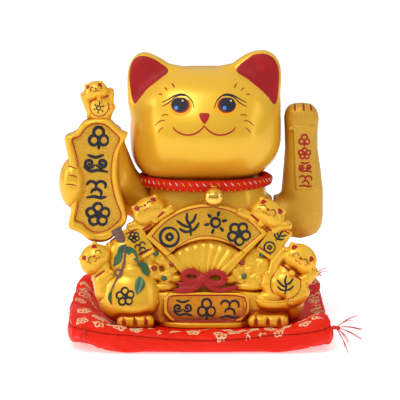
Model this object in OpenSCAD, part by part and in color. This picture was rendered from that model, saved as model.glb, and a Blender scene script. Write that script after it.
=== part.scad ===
// Ceramic lucky cat with a battery-driven waving arm, seated on a square floor cushion.
// Frame: +Z up, the cat faces -Y, origin at the middle of the cushion's underside, millimetres.

/* [Cushion] */
// Side of the square cushion at its widest
cushion_side = 262; // [258:1:266]
// Height of the puffed rim
cushion_h = 38; // [36:1:40]
// Height of the hollow that the cat presses into the cushion
seat_z = 17; // [16:0.5:18]

/* [Ceramic] */
// Wall thickness of the slip-cast shells
ceramic_t = 5; // [4:0.5:5.5]
// How far the relief on the belly leans back, in degrees
lean = 14.5; // [14:0.25:15]
// Height of the plane where head and torso meet
neck_z = 144; // [144:0.25:144.25]

/* [Waving arm] */
// Height of the shoulder axle
pivot_z = 112; // [111:0.5:113]
// Wall thickness of the moulded arm
arm_t = 2.5; // [2:0.25:3]
// Radius of the arm at the shoulder joint
shoulder_r = 20; // [19:0.5:20]
// Radius of the steel axle
axle_r = 2; // [1.9:0.1:2.1]

/* [Bell] */
// Outer radius of the jingle bell
bell_r = 10; // [9.5:0.1:10]
// Angle at which the bell leans forward on the fan, in degrees
bell_tilt = 38; // [37:1:44]

/* [Hidden] */
$fn = 48;
far = 700;         // bigger than the part, for cutting blocks
gold = [0.93, 0.72, 0.28];
gold_deep = [0.80, 0.60, 0.20];
red = [0.68, 0.10, 0.12];
ink = [0.08, 0.08, 0.10];

// Sections of the lofts: [z, centre x, centre y, half width, half depth, squareness]
torso_sections = [
    [seat_z, 0, -1, 84, 78, 2.6],
    [seat_z + 5, 0, -1, 90, 84, 2.7],
    [45, 0, 0, 92, 86, 2.7],
    [70, 0, 2, 84, 82, 2.6],
    [92, 0, 3, 72, 76, 2.5],
    [112, 0, 3, 65, 67, 2.4],
    [130, 0, 2, 61, 56, 2.3],
    [140, 0, 1, 60, 50, 2.2],
    [neck_z, 0, 0, 58, 46, 2.2]
];
head_sections = [
    [neck_z, 0, 0, 56, 44, 2],
    [155, 0, 0, 56, 44, 2],
    [159, 0, 0, 62, 49, 2.3],
    [166, 0, 0, 69, 54, 2.4],
    [178, 0, 0, 75, 60, 2.5],
    [196, 0, 0, 77, 63, 2.5],
    [214, 0, 0, 76, 62, 2.5],
    [232, 0, 0, 71, 58, 2.5],
    [246, 0, 0, 63, 51, 2.4],
    [256, 0, 0, 51, 41, 2.3],
    [262, 0, 0, 34, 26, 2.2]
];
forearm_sections = [
    [88.5, 97, 0, 10, 9, 2],
    [91, 97, 0, 16, 14, 2.1],
    [97, 97, 0, 21, 19, 2.2],
    [108, 97.5, 0, 23, 22, 2.3],
    [124, 98.5, 0, 22, 21, 2.3],
    [150, 98.5, 0, 19.5, 18, 2.4],
    [185, 97.5, 0, 17.5, 15.5, 2.5],
    [205, 97, 0, 18, 16, 2.6],
    [216, 97, 0, 17.5, 15.5, 2.6],
    [222, 97, 0, 15, 12.5, 2.5],
    [224.5, 97, 0, 10.5, 8, 2.3]
];
cushion_sections = [
    [0, 0, 0, 0.44 * cushion_side, 0.43 * cushion_side, 6],
    [3, 0, 0, 0.47 * cushion_side, 0.46 * cushion_side, 6],
    [10, 0, 0, 0.495 * cushion_side, 0.485 * cushion_side, 7],
    [20, 0, 0, 0.5 * cushion_side, 0.49 * cushion_side, 7],
    [30, 0, 0, 0.485 * cushion_side, 0.475 * cushion_side, 7],
    [cushion_h, 0, 0, 0.45 * cushion_side, 0.44 * cushion_side, 5]
];
dent_sections = [
    [seat_z, 0, -5, 106, 95, 4],
    [cushion_h + 1, 0, -4, 116, 110, 4.6]
];

front_y = -76;     // belly plane at the height of the seat
back_y = 72;       // flat on the back that carries the service cover
parting = 0.05;    // hairline between the two halves of the arm
rope_r = 5.5;
rope_z = 149.5;
rope_path = [62.5, 51.5];
board_y = [-60, -36];
bell_hinge = [9, -60, 150.5];
bell_drop = 11.5;  // hinge to bell centre

// ---------- shared shapes ----------

function superellipse(hw, hd, power, count) = [
    for (i = [0 : count - 1])
        let (a = 360 * i / count, c = cos(a), s = sin(a))
        [hw * sign(c) * pow(abs(c), 2 / power), hd * sign(s) * pow(abs(s), 2 / power)]
];

function inset(sections, t) = [for (s = sections) [s[0], s[1], s[2], s[3] - t, s[4] - t, s[5]]];

function lifted(sections, floor_z, roof_z) = [
    for (i = [0 : len(sections) - 1])
        let (s = sections[i])
        [i == 0 ? floor_z : i == len(sections) - 1 ? roof_z : s[0], s[1], s[2], s[3], s[4], s[5]]
];

// A closed solid through superellipse sections, bottom to top.
module loft(sections, count = 36) {
    rings = len(sections);
    points = [
        for (s = sections)
            for (p = superellipse(s[3], s[4], s[5], count)) [s[1] + p[0], s[2] + p[1], s[0]]
    ];
    sides = [
        for (i = [0 : rings - 2], j = [0 : count - 1], half = [0, 1])
            let (a = i * count + j, b = i * count + (j + 1) % count, c = b + count, d = a + count)
            half == 0 ? [a, d, c] : [a, c, b]
    ];
    base = [for (j = [0 : count - 1]) j];
    top = [for (j = [count - 1 : -1 : 0]) (rings - 1) * count + j];
    polyhedron(points, concat([base], sides, [top]), convexity = 6);
}

function unit(v) = v / norm(v);

// A round tube through points, never parallel to ref; closed joins its last ring to its first.
module tube(path, r, sides = 8, closed = false, ref = [1, 0, 0]) {
    count = len(path);
    rings = [
        for (i = [0 : count - 1])
            let (
                before = path[closed ? (i + count - 1) % count : max(i - 1, 0)],
                after = path[closed ? (i + 1) % count : min(i + 1, count - 1)],
                along = unit(after - before),
                side = unit(cross(along, ref)),
                up = cross(side, along)
            )
            for (k = [0 : sides - 1])
                path[i] + r * (cos(360 * k / sides) * side + sin(360 * k / sides) * up)
    ];
    walls = [
        for (i = [0 : count - (closed ? 1 : 2)], k = [0 : sides - 1], half = [0, 1])
            let (
                a = i * sides + k, b = i * sides + (k + 1) % sides,
                c = ((i + 1) % count) * sides + (k + 1) % sides, d = ((i + 1) % count) * sides + k
            )
            half == 0 ? [a, c, b] : [a, d, c]
    ];
    ends = closed ? [] : [
        [for (k = [0 : sides - 1]) k],
        [for (k = [sides - 1 : -1 : 0]) (count - 1) * sides + k]
    ];
    polyhedron(rings, concat(walls, ends), convexity = 6);
}

module rounded_plate(w, h, t, r) {
    linear_extrude(t) offset(r = r, $fn = 24) square([w - 2 * r, h - 2 * r], center = true);
}

// Local z points out of the belly, local y runs up it. Put down at row x and row z.
module on_front(x = 0, z = seat_z) {
    translate([0, front_y, seat_z]) rotate([90 - lean, 0, 0])
        translate([x, (z - seat_z) / cos(lean), 0]) children();
}

// Keeps what is outside the belly plane.
module sprigged() {
    difference() {
        children();
        on_front() translate([-far / 2, -far / 2, -far]) cube(far);
    }
}

module torso_outer() {
    difference() {
        union() {
            loft(torso_sections);
            translate([40, 0, pivot_z]) rotate([0, 90, 0]) cylinder(h = 28, r = shoulder_r + 1.5);
        }
        on_front() translate([-far / 2, -far / 2, 0]) cube(far);
        translate([-far / 2, back_y, -far / 2]) cube(far);
        translate([68, 0, pivot_z]) rotate([0, 90, 0]) cylinder(h = 60, r = shoulder_r + 1.5);
    }
}

module torso_inner() {
    difference() {
        loft(lifted(inset(torso_sections, ceramic_t), seat_z + ceramic_t, neck_z + 1));
        on_front() translate([-far / 2, -far / 2, -ceramic_t]) cube(far);
        translate([-far / 2, back_y - ceramic_t, -far / 2]) cube(far);
    }
}

// ---------- ceramic figure ----------

module torso_shell() {
    color(gold) difference() {
        torso_outer();
        torso_inner();
        translate([40, 0, pivot_z]) rotate([0, 90, 0]) cylinder(h = 40, r = 9);
        translate([-38, back_y - 2 * ceramic_t, 36]) cube([76, 4 * ceramic_t, 44]);
        for (x = [-42, 42], z = [32, 84])
            translate([x, back_y - 2 * ceramic_t, z]) rotate([-90, 0, 0]) cylinder(h = 20, r = 1.5);
        translate([0, 0, seat_z - 1]) cylinder(h = 10, r = 14);
    }
}

module head_shell() {
    color(gold) difference() {
        loft(head_sections);
        loft(lifted(inset(head_sections, ceramic_t), neck_z - 1, 262 - ceramic_t));
    }
}

module ear(side) {
    color(red) difference() {
        hull() {
            translate([side * 35, -6, 252]) sphere(r = 7, $fn = 20);
            translate([side * 68, -6, 228]) sphere(r = 7, $fn = 20);
            translate([side * 63, -6, 270]) sphere(r = 8, $fn = 20);
        }
        loft(head_sections);
    }
}

module raised_arm() {
    color(gold) difference() {
        union() {
            hull() {
                translate([-56, 4, 112]) sphere(r = 18, $fn = 24);
                translate([-94, -14, 146]) sphere(r = 20, $fn = 24);
            }
            hull() {
                translate([-94, -14, 146]) sphere(r = 20, $fn = 24);
                translate([-100, -20, 190]) sphere(r = 14, $fn = 24);
            }
            hull() {
                translate([-110, -20, 140]) sphere(r = 14, $fn = 24);
                translate([-128, -38, 155]) scale([1, 1.2, 1.5]) sphere(r = 15, $fn = 24);
            }
        }
        torso_outer();
        board_block(board_y[0] - 30, board_y[1]);
        translate([0, 0, rope_z - 6]) scale([1, rope_path[1] / rope_path[0], 1])
            cylinder(h = 12, r = rope_path[0] + rope_r + 0.5);
    }
}

// Outline of the tall board: a bulged head and foot with concave sides, about its own middle.
module board_outline() {
    half_h = 63;
    difference() {
        union() {
            square([58, 104], center = true);
            translate([0, half_h - 30]) circle(r = 30);
            translate([0, 30 - half_h]) circle(r = 30);
        }
        for (side = [-1, 1]) translate([side * 138, 0]) circle(r = 118, $fn = 96);
        for (side = [-1, 1], end = [-1, 1]) translate([side * 37, end * 63]) circle(r = 14);
    }
}

module board_block(y0, y1) {
    translate([-101, y1, 153]) rotate([90, 0, 0]) rotate(3) linear_extrude(y1 - y0) board_outline();
}

module scroll_board() {
    color(gold) difference() {
        board_block(board_y[0], board_y[1]);
        translate([-101, board_y[0] + 2, 153]) rotate([90, 0, 0]) rotate(3) linear_extrude(10)
            offset(delta = -6) board_outline();
    }
}

// A small seated cat: head, ears, belly and two arms, about the middle of its head.
module kitten_shapes(r, body_r) {
    sphere(r = r);
    for (side = [-1, 1]) {
        translate([side * r * 0.72, r * 0.8, -1]) sphere(r = r * 0.33);
        translate([side * r * 1.05, -r * 1.25, 1]) sphere(r = r * 0.45);
    }
    translate([0, -r - body_r * 0.62, -1]) sphere(r = body_r);
}

module board_kitten() {
    color(gold) difference() {
        translate([-104, -48, 240]) rotate([90, 0, 0]) rotate([8, 3, 2]) kitten_shapes(11, 12);
        translate([-104, -20, 188]) rotate([90, 0, 0]) cylinder(h = 60, r = 28.6);
    }
}

module fan_sector(r0, r1, half_angle, t) {
    linear_extrude(t) intersection() {
        difference() {
            circle(r = r1, $fn = 96);
            circle(r = r0, $fn = 96);
        }
        polygon([
            [0, 0], [-far * tan(half_angle), far], [far * tan(half_angle), far]
        ]);
    }
}

fan_centre = [3, 54];
module fan_panel() {
    color(gold) difference() {
        on_front(fan_centre[0], fan_centre[1]) fan_sector(50, 83, 46, 12);
        on_front(fan_centre[0], fan_centre[1]) translate([0, 0, 10.5]) fan_sector(53.5, 79, 43, 5);
    }
}

module fan_pleats() {
    ribs = 13;
    color(gold) union() {
        on_front(fan_centre[0], fan_centre[1]) fan_sector(20, 50, 46, 8);
        for (i = [0 : ribs - 1])
            on_front(fan_centre[0], fan_centre[1]) rotate(-42 + 84 * i / (ribs - 1))
                translate([-1, 20.5, 7]) cube([2, 29, 2.5]);
    }
}

module ribbon_bow() {
    color(red) difference() {
        on_front(1, 64) translate([0, 0, 9.5]) {
            for (side = [-1, 1]) {
                translate([side * 13.5, 3, 2.5]) scale([1, 0.72, 0.8]) rotate_extrude()
                    translate([8.5, 0]) circle(r = 3.4);
                translate([side * 4, -6, 0]) rotate(side * 63 - 90 * side) translate([side * 12.5, 0, 2])
                    cube([26, 7, 4], center = true);
            }
            translate([0, 2, -1]) cylinder(h = 8, r = 5);
        }
        fan_pleats();
        base_plaque();
    }
}

module plaque_outline(w, h, cut) {
    polygon([
        [-w / 2 + cut, -h / 2], [w / 2 - cut, -h / 2], [w / 2, -h / 2 + cut], [w / 2, h / 2 - cut],
        [w / 2 - cut, h / 2], [-w / 2 + cut, h / 2], [-w / 2, h / 2 - cut], [-w / 2, -h / 2 + cut]
    ]);
}

module base_plaque() {
    color(gold) difference() {
        on_front(2.5, 36.5) linear_extrude(13) plaque_outline(85, 31, 8);
        on_front(2.5, 36.5) translate([0, 0, 11.5]) linear_extrude(5) plaque_outline(77, 24, 6.5);
    }
}

module base_plinth() {
    color(gold) sprigged() translate([0, 0, seat_z]) linear_extrude(3.2) intersection() {
        translate([0, 62]) circle(r = 153, $fn = 128);
        square([116, 2 * 92], center = true);
    }
}

module foot(x, w) {
    toes = 4;
    color(gold) difference() {
        sprigged() for (i = [0 : toes - 1])
            translate([x + (i - 1.5) * w / 4, -73, seat_z + 5.5]) {
                rotate([90, 0, 0]) cylinder(h = 9, r = w / 7.4);
                translate([0, -9, 0]) sphere(r = w / 7.4);
            }
        base_plinth();
        lucky_sack();
    }
}

// Everything that stands proud of the belly stops at the pieces it is luted to.
module lucky_sack() {
    color(gold) difference() {
        union() {
            translate([-72, -66, 46]) scale([1.08, 0.8, 0.9]) sphere(r = 26);
            translate([-66, -66, 70]) sphere(r = 12);
        }
        torso_outer();
    }
}

// A rod between two points, its end radii r1 and r2.
module rod(a, b, r1, r2) {
    d = b - a;
    translate(a) rotate([0, acos(d[2] / norm(d)), atan2(d[1], d[0])])
        cylinder(h = norm(d), r1 = r1, r2 = r2);
}

// Joints of the branch and its leaves, as x and z on the plane in front of the sack.
stem = [[-84, 106], [-80, 96], [-81, 86], [-86, 74], [-92, 60]];
leaves = [[-85, 92, 28], [-74.5, 90, -50], [-81.5, 78.5, -40], [-87, 71, -25], [-91.5, 53, 8]];
function before_sack(p) = [p[0], -92 + (p[1] - 50) * 0.22, p[1]];

module willow_branch() {
    color([0.15, 0.32, 0.18]) union() {
        for (i = [0 : len(stem) - 2]) {
            rod(before_sack(stem[i]), before_sack(stem[i + 1]), 1.6, 1.6);
            translate(before_sack(stem[i + 1])) sphere(r = 2);
        }
        for (l = leaves)
            translate(before_sack(l)) rotate([90 - lean, 0, 0]) rotate(l[2]) linear_extrude(1.4)
                intersection() {
                    translate([-7, 0]) circle(r = 10.5);
                    translate([7, 0]) circle(r = 10.5);
                }
    }
}

module placed_kitten(x, z, turn, r, body_r, y_out) {
    color(gold) difference() {
        on_front(x, z) translate([0, 0, y_out]) rotate(turn) kitten_shapes(r, body_r);
        torso_outer();
        children();
    }
}

module upper_left_kitten() {
    placed_kitten(-54, 131, 28, 12, 9, 6) {
        fan_panel();
        raised_arm();
    }
}

module upper_right_kitten() {
    placed_kitten(62, 129, -28, 12, 9, 6) fan_panel();
}

module lower_left_kitten() {
    placed_kitten(-105, 84, 20, 13.5, 12, 2) {
        lucky_sack();
        board_block(board_y[0] - 1, board_y[1] + 1);
    }
}

module lower_right_kitten() {
    placed_kitten(92, 83, -25, 14, 15, 2) {
        gold_ingot();
        right_banner();
    }
}

module left_banner() {
    difference() {
        banner(-65, 100, 28);
        board_block(board_y[0] - 1, board_y[1] + 1);
        upper_left_kitten();
    }
}

module right_banner() {
    difference() {
        banner(68, 104, -35);
        fan_panel();
        upper_right_kitten();
    }
}

module banner(x, z, turn) {
    color(gold) on_front(x, z) rotate(turn) {
        translate([-9.5, -15, 0]) cube([19, 30, 11]);
        translate([-8, -13.5, 11]) cube([16, 27, 1]);
    }
}

module gold_ingot() {
    color(gold) sprigged() on_front(69, 37) intersection() {
        translate([0, 18, 8]) rotate([90, 0, 0]) cylinder(h = 40, r = 20, center = true);
        translate([0, 20, 0]) difference() {
            cylinder(h = 20, r = 27);
            translate([0, 9, -1]) cylinder(h = 22, r = 21);
        }
    }
}

module coins(spots) {
    color(gold) difference() {
        for (c = spots)
            on_front(c[0], c[1]) {
                cylinder(h = c[3], r = c[2]);
                translate([0, 0, c[3]]) cylinder(h = 1, r = c[2] * 0.55);
            }
        children();
    }
}

module left_coins() {
    coins(left_coin_spots) {
        jewel_beads();
        lucky_sack();
        base_plaque();
    }
}

module right_coins() {
    coins(right_coin_spots) {
        jewel_beads();
        fan_panel();
        fan_pleats();
        gold_ingot();
    }
}

left_coin_spots = [[-42, 84, 7.5, 8], [-33, 68, 7.5, 9], [-48, 66, 7, 7], [-41, 50, 7.5, 9]];
right_coin_spots = [[45, 84, 7.5, 8], [36, 67, 7, 9], [51, 68, 8, 8]];
bead_spots = [
    [-47, 92, 0], [-33, 79, 1], [-49, 77, 1], [-41, 66, 0], [36, 79, 1], [55, 92, 0], [38, 66, 0]
];

module jewel_beads() {
    for (b = bead_spots)
        color(b[2] == 1 ? red : [0.05, 0.35, 0.15]) on_front(b[0], b[1]) {
            cylinder(h = 11, r = 1.6);
            translate([0, 0, 11]) sphere(r = 2.5);
        }
}

module tail() {
    color(gold) difference() {
        hull() {
            translate([-56, 58, 34]) sphere(r = 11, $fn = 24);
            translate([-60, 66, 58]) sphere(r = 10, $fn = 24);
        }
        torso_outer();
        translate([-50, back_y - 20, 0]) cube([120, 60, 100]);
    }
}

// ---------- waving arm and what turns with it ----------

module arm_outer(t) {
    loft(lifted(inset(forearm_sections, t), 88.5 + t, 224.5 - t), 32);
    translate([69, 0, pivot_z]) rotate([0, 90, 0]) cylinder(h = 20, r1 = shoulder_r - t, r2 = 22 - t);
}

module arm_half(side) {
    color(gold_deep) difference() {
        union() {
            arm_outer(0);
            if (side < 0) translate([98, -16.5, 172]) rotate([90, 0, 0]) rotate(2)
                rounded_plate(24, 58, 3.5, 2);
        }
        arm_outer(arm_t);
        translate([68, 0, pivot_z]) rotate([0, 90, 0]) cylinder(h = 4, r = shoulder_r - arm_t);
        translate([-far / 2, side < 0 ? 0 : parting - far, -far / 2]) cube(far);
    }
}

module along_x(x, h, r) {
    translate([x, 0, pivot_z]) rotate([0, 90, 0]) cylinder(h = h, r = r);
}

module arm_hub() {
    color("ivory") difference() {
        union() {
            along_x(69, 3, shoulder_r - arm_t);
            along_x(71, 19, 7);
        }
        along_x(68, 18, axle_r);
        translate([80, 0, pivot_z - 8]) cylinder(h = 8, r = 1.5);
    }
}

module hub_screw() {
    color("silver") difference() {
        translate([80, 0, pivot_z - 6.5]) cylinder(h = 4.5 - (axle_r - 2), r = 1.5);
        along_x(68, 18, axle_r);
    }
}

module arm_axle() {
    color("silver") along_x(14, 72, axle_r);
}

module axle_clips() {
    color("silver") for (x = [17.8, 54.4]) difference() {
        along_x(x, 0.8, 4.5);
        along_x(x - 1, 3, axle_r);
    }
}

pendulum_x = 36.5;
module pendulum() {
    color("ivory") difference() {
        union() {
            along_x(pendulum_x - 4, 8, 6.5);
            translate([pendulum_x, 0, 60]) cylinder(h = pivot_z - 62, r = 2.5);
            translate([pendulum_x, 0, 54]) cylinder(h = 7, r = 9.5);
        }
        along_x(pendulum_x - 5, 10, axle_r);
        translate([pendulum_x, 0, 53]) cylinder(h = 6, r = 7.5);
    }
}

module counterweight() {
    color("dimgray") translate([pendulum_x, 0, 61]) difference() {
        cylinder(h = 26, r = 13);
        translate([0, 0, -1]) cylinder(h = 28, r = 2.5);
    }
}

module drive_magnet() {
    color("silver") translate([pendulum_x, 0, 54]) cylinder(h = 5, r = 7.5);
}

// ---------- mechanism in the torso ----------

module mechanism_frame() {
    color("lightgray") difference() {
        union() {
            translate([19, -20, 33]) cube([35, 70, 2.5]);
            translate([19, 47.5, 33]) cube([35, 2.5, 40]);
            for (x = [20, 50.5]) translate([x, -13, 35]) cube([2.5, 26, pivot_z - 27]);
        }
        along_x(10, 60, 4);
        for (z = [45, 66]) translate([24, 40, z]) rotate([-90, 0, 0]) cylinder(h = 12, r = 1.5);
    }
}

module axle_bushes() {
    color("goldenrod") for (side = [0, 1]) difference() {
        union() {
            along_x(side == 0 ? 20 : 48.7, 4.3, 4);
            along_x(side == 0 ? 19 : 53, 1, 5.5);
        }
        along_x(10, 60, axle_r + 0.05);
    }
}

module coil_bobbin() {
    color("white") translate([pendulum_x, 0, 35.5]) difference() {
        union() {
            cylinder(h = 14, r = 5);
            cylinder(h = 1.5, r = 13);
            translate([0, 0, 12.5]) cylinder(h = 1.5, r = 13);
        }
        translate([0, 0, -1]) cylinder(h = 16, r = 2.5);
    }
}

module drive_coil() {
    color("peru") translate([pendulum_x, 0, 37]) difference() {
        cylinder(h = 11, r = 12);
        translate([0, 0, -1]) cylinder(h = 13, r = 5);
    }
}

module circuit_board() {
    color("darkgreen") union() {
        translate([24, 20, 35.5]) cube([26, 22, 1.6]);
        translate([28, 26, 37.1]) cube([8, 6, 1.8]);
        translate([43, 36, 37.1]) cylinder(h = 9, r = 3);
        translate([42, 25, 37.1]) cylinder(h = 6, r = 2.2);
    }
}

module coil_leads() {
    color("brown") for (dx = [-2, 2])
        tube([
            [pendulum_x + dx, 12.6, 41], [pendulum_x + dx, 15, 42], [pendulum_x + dx, 18, 41.5],
            [pendulum_x + dx, 20.5, 39.5], [pendulum_x + dx, 22, 37.75]
        ], 0.6);
}

module battery_leads() {
    for (lead = [[27, red], [31, ink]])
        color(lead[1]) tube([
            [16.6, 64, lead[0] + 12], [19.5, 62, lead[0] + 11], [21, 57, lead[0] + 8],
            [22, 52.6, lead[0] + 2], [23, 51.4, lead[0]]
        ], 0.7);
}

box_x = [-36, 16];
module battery_box() {
    color("ivory") difference() {
        translate([box_x[0] - 2, 50, 40]) cube([54, back_y - 50, 36]);
        translate([box_x[0], 52, 42]) cube([50, back_y - 50, 32]);
    }
}

cell_length = 44.5;
module battery_cells() {
    for (i = [0, 1])
        color([0.15, 0.35, 0.25]) translate([box_x[0] + (i == 0 ? 4.8 : 0.8), 59.6, 50 + 16 * i])
            rotate([0, 90, 0]) {
                translate([0, 0, i == 0 ? 0 : 1]) cylinder(h = cell_length - 1, r = 5.25);
                translate([0, 0, i == 0 ? cell_length - 1 : 0]) cylinder(h = 1, r = 1.9);
            }
}

module contact_springs() {
    turns = 3;
    steps = 10 * turns;
    for (i = [0, 1])
        color("silver") translate([i == 0 ? box_x[0] + 0.75 : box_x[1] - 2.75, 59.6, 50 + 16 * i])
            tube([
                for (k = [0 : steps])
                    let (a = 360 * turns * k / steps, f = (i == 0 ? k : steps - k) / steps)
                    [3.5 * (i == 0 ? k : k - steps) / steps, (4.2 - 2 * f) * cos(a), (4.2 - 2 * f) * sin(a)]
            ], 0.35, 6);
}

module contact_plates() {
    color("silver") for (x = [box_x[0], box_x[1] - 2.4]) translate([x, 53, 44]) cube([0.4, 13, 28]);
}

module frame_screws() {
    color("silver") for (z = [45, 66]) translate([24, 58, z]) rotate([90, 0, 0]) {
        cylinder(h = 10.5, r = 1.5);
        translate([0, 0, 10.5]) cylinder(h = 1.6, r = 2.8);
    }
}

// ---------- service cover on the back ----------

door = [-33, 13, 43, 73];
hinge_z = 41.5;

module hinge_rod(x, length, r) {
    translate([x, back_y + 1.5, hinge_z]) rotate([0, 90, 0]) cylinder(h = length, r = r);
}

module back_cover() {
    color(gold) difference() {
        union() {
            translate([0, back_y, 58]) rotate([-90, 0, 0]) rounded_plate(94, 62, 3, 5);
            for (z = [45, 66]) translate([24, 50, z]) rotate([-90, 0, 0]) cylinder(h = back_y - 50, r = 4);
        }
        translate([door[0] - 0.5, back_y - 1, 39.5]) cube([door[1] - door[0] + 1, 8, door[3] - 39]);
        translate([26, back_y - 1, 55]) cube([10, 8, 4]);
        for (z = [45, 66]) translate([24, 40, z]) rotate([-90, 0, 0]) cylinder(h = 18, r = 1.5);
        for (x = [-42, 42], z = [32, 84]) translate([x, back_y - 1, z]) rotate([-90, 0, 0])
            cylinder(h = 8, r = 1.5);
        hinge_rod(door[0] - 2, door[1] - door[0] + 4, 0.9);
    }
}

module cover_screws() {
    color("silver") for (x = [-42, 42], z = [32, 84])
        translate([x, back_y - ceramic_t - 3, z]) rotate([-90, 0, 0]) {
            cylinder(h = ceramic_t + 6, r = 1.5);
            translate([0, 0, ceramic_t + 6]) cylinder(h = 1.6, r = 3);
        }
}

module battery_door() {
    width = door[1] - door[0];
    color(gold) union() {
        translate([door[0], back_y + 0.5, hinge_z]) cube([width, 2, door[3] - hinge_z]);
        hinge_rod(door[0], width, 1);
        hinge_rod(door[0] - 1.6, width + 3.2, 0.8);
        translate([door[0] + width / 2 - 7, back_y + 2, door[3] - 5]) cube([14, 1.8, 1.5]);
    }
}

module switch_knob() {
    color(ink) union() {
        translate([27, back_y - 2, 55.2]) cube([4, 5.8, 3.6]);
        translate([25, back_y - 1.6, 54]) cube([8, 1.2, 6]);
    }
}

// ---------- collar and bell ----------

module collar_rope() {
    count = 64;
    color([0.85, 0.12, 0.05]) tube([
        for (i = [0 : count - 1])
            [rope_path[0] * cos(360 * i / count), rope_path[1] * sin(360 * i / count), rope_z]
    ], rope_r, 12, true, [0, 0, 1]);
}

module rope_crimp() {
    color("goldenrod") translate([-6, rope_path[1] - 0.1, rope_z]) rotate([0, 90, 0]) difference() {
        cylinder(h = 12, r = 6.4);
        translate([0, 0, -1]) cylinder(h = 14, r = 5.85);
    }
}

module bell_ring() {
    color("goldenrod") translate(bell_hinge + [0, 3, 0]) rotate_extrude() translate([3, 0]) circle(r = 0.5);
}

// Turns what is drawn about the bell's own hinge into its resting lean.
module bell_pose() {
    translate(bell_hinge) rotate([-bell_tilt, 0, 0]) children();
}

module bell_shells() {
    color("gold") bell_pose() {
        difference() {
            translate([0, 0, -bell_drop]) sphere(r = bell_r);
            translate([0, 0, -bell_drop]) sphere(r = bell_r - 0.7);
            translate([0, 0, -bell_drop - bell_r]) cube([2 * bell_r + 2, 1.6, 2 * bell_r], center = true);
            translate([0, 0, -bell_drop]) rotate([0, 90, 0]) cylinder(h = 30, r = 1.9, center = true);
        }
        rotate([0, 90, 0]) rotate_extrude() translate([1.25, 0]) circle(r = 0.55);
    }
}

clapper_r = 2.6;
module bell_clapper() {
    centre = bell_hinge + bell_drop * [0, -sin(bell_tilt), -cos(bell_tilt)];
    color("silver") translate(centre - [0, 0, bell_r - 0.75 - clapper_r]) sphere(r = clapper_r);
}

// ---------- cushion ----------

cover_t = 1;

// The rim in front of the feet is flattened between the two front corners.
module flattened_front(t) {
    translate([0, -88, 0]) rotate([90, 0, 0]) linear_extrude(60)
        polygon([[-74 - t, seat_z + 2 - t], [74 + t, seat_z + 2 - t], [108 + t, 60], [-108 - t, 60]]);
}

module cushion_filling() {
    color("white") difference() {
        loft(lifted(inset(cushion_sections, cover_t), cover_t, cushion_h - cover_t), 56);
        translate([0, 0, -cover_t]) loft(inset(dent_sections, -cover_t), 56);
        flattened_front(cover_t);
    }
}

module cushion_cover() {
    color([0.86, 0.13, 0.07]) difference() {
        loft(cushion_sections, 56);
        loft(dent_sections, 56);
        flattened_front(0);
        cushion_filling();
    }
}

// Root, direction and length of each tassel.
tassels = [
    [[120, -118, 21], [32, -18, -11]], [[118, 116, 24], [17, 14, -2]],
    [[-121, -115, 14], [-5, 25, -5]], [[-118, 118, 22], [-4, 20, -8]]
];
module corner_tassels() {
    color([0.80, 0.25, 0.28]) for (t = tassels) {
        rod(t[0], t[0] + t[1], 1.6, 5);
        translate(t[0] + 5 * unit(t[1])) sphere(r = 2.6);
    }
}

// ---------- one node at a time ----------

torso_shell();
head_shell();
ear(-1);  // left_ear
ear(1);  // right_ear
raised_arm();
scroll_board();
board_kitten();
fan_panel();
fan_pleats();
ribbon_bow();
base_plaque();
base_plinth();
foot(-58, 40);  // left_foot
foot(66, 34);  // right_foot
lucky_sack();
willow_branch();
upper_left_kitten();
upper_right_kitten();
lower_left_kitten();
lower_right_kitten();
left_banner();
right_banner();
gold_ingot();
left_coins();
right_coins();
jewel_beads();
tail();
arm_half(-1);  // arm_front_shell
arm_half(1);  // arm_rear_shell
arm_hub();
hub_screw();
arm_axle();
axle_clips();
pendulum();
counterweight();
drive_magnet();
mechanism_frame();
axle_bushes();
coil_bobbin();
drive_coil();
circuit_board();
coil_leads();
battery_leads();
battery_box();
battery_cells();
contact_springs();
contact_plates();
frame_screws();
back_cover();
cover_screws();
battery_door();
switch_knob();
collar_rope();
rope_crimp();
bell_ring();
bell_shells();
bell_clapper();
cushion_filling();
cushion_cover();
corner_tassels();
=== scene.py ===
"""A gold glazed lucky cat on a square brocade cushion.

Lengths in this file are millimetres until a mesh is made.
"""

import math

import bpy
import numpy as np
import openvdb
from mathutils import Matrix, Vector
from mathutils.bvhtree import BVHTree


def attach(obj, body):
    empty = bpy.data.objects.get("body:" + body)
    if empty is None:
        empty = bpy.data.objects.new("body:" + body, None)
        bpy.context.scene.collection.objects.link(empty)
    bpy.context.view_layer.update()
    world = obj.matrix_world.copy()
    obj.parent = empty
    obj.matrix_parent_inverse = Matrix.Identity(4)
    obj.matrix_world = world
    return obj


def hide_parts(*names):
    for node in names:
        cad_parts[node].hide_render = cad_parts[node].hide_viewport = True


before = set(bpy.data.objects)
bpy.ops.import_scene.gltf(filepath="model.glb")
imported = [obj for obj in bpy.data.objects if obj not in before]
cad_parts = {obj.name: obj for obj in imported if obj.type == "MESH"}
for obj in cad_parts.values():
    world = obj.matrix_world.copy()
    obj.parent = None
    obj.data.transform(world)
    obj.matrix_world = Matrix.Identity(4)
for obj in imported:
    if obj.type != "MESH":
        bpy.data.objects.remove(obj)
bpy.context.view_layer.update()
MM = 0.001
FRONT_Y, SEAT_Z, LEAN = -76.0, 17.0, math.radians(14.5)


# ---------- frames ----------


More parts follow.
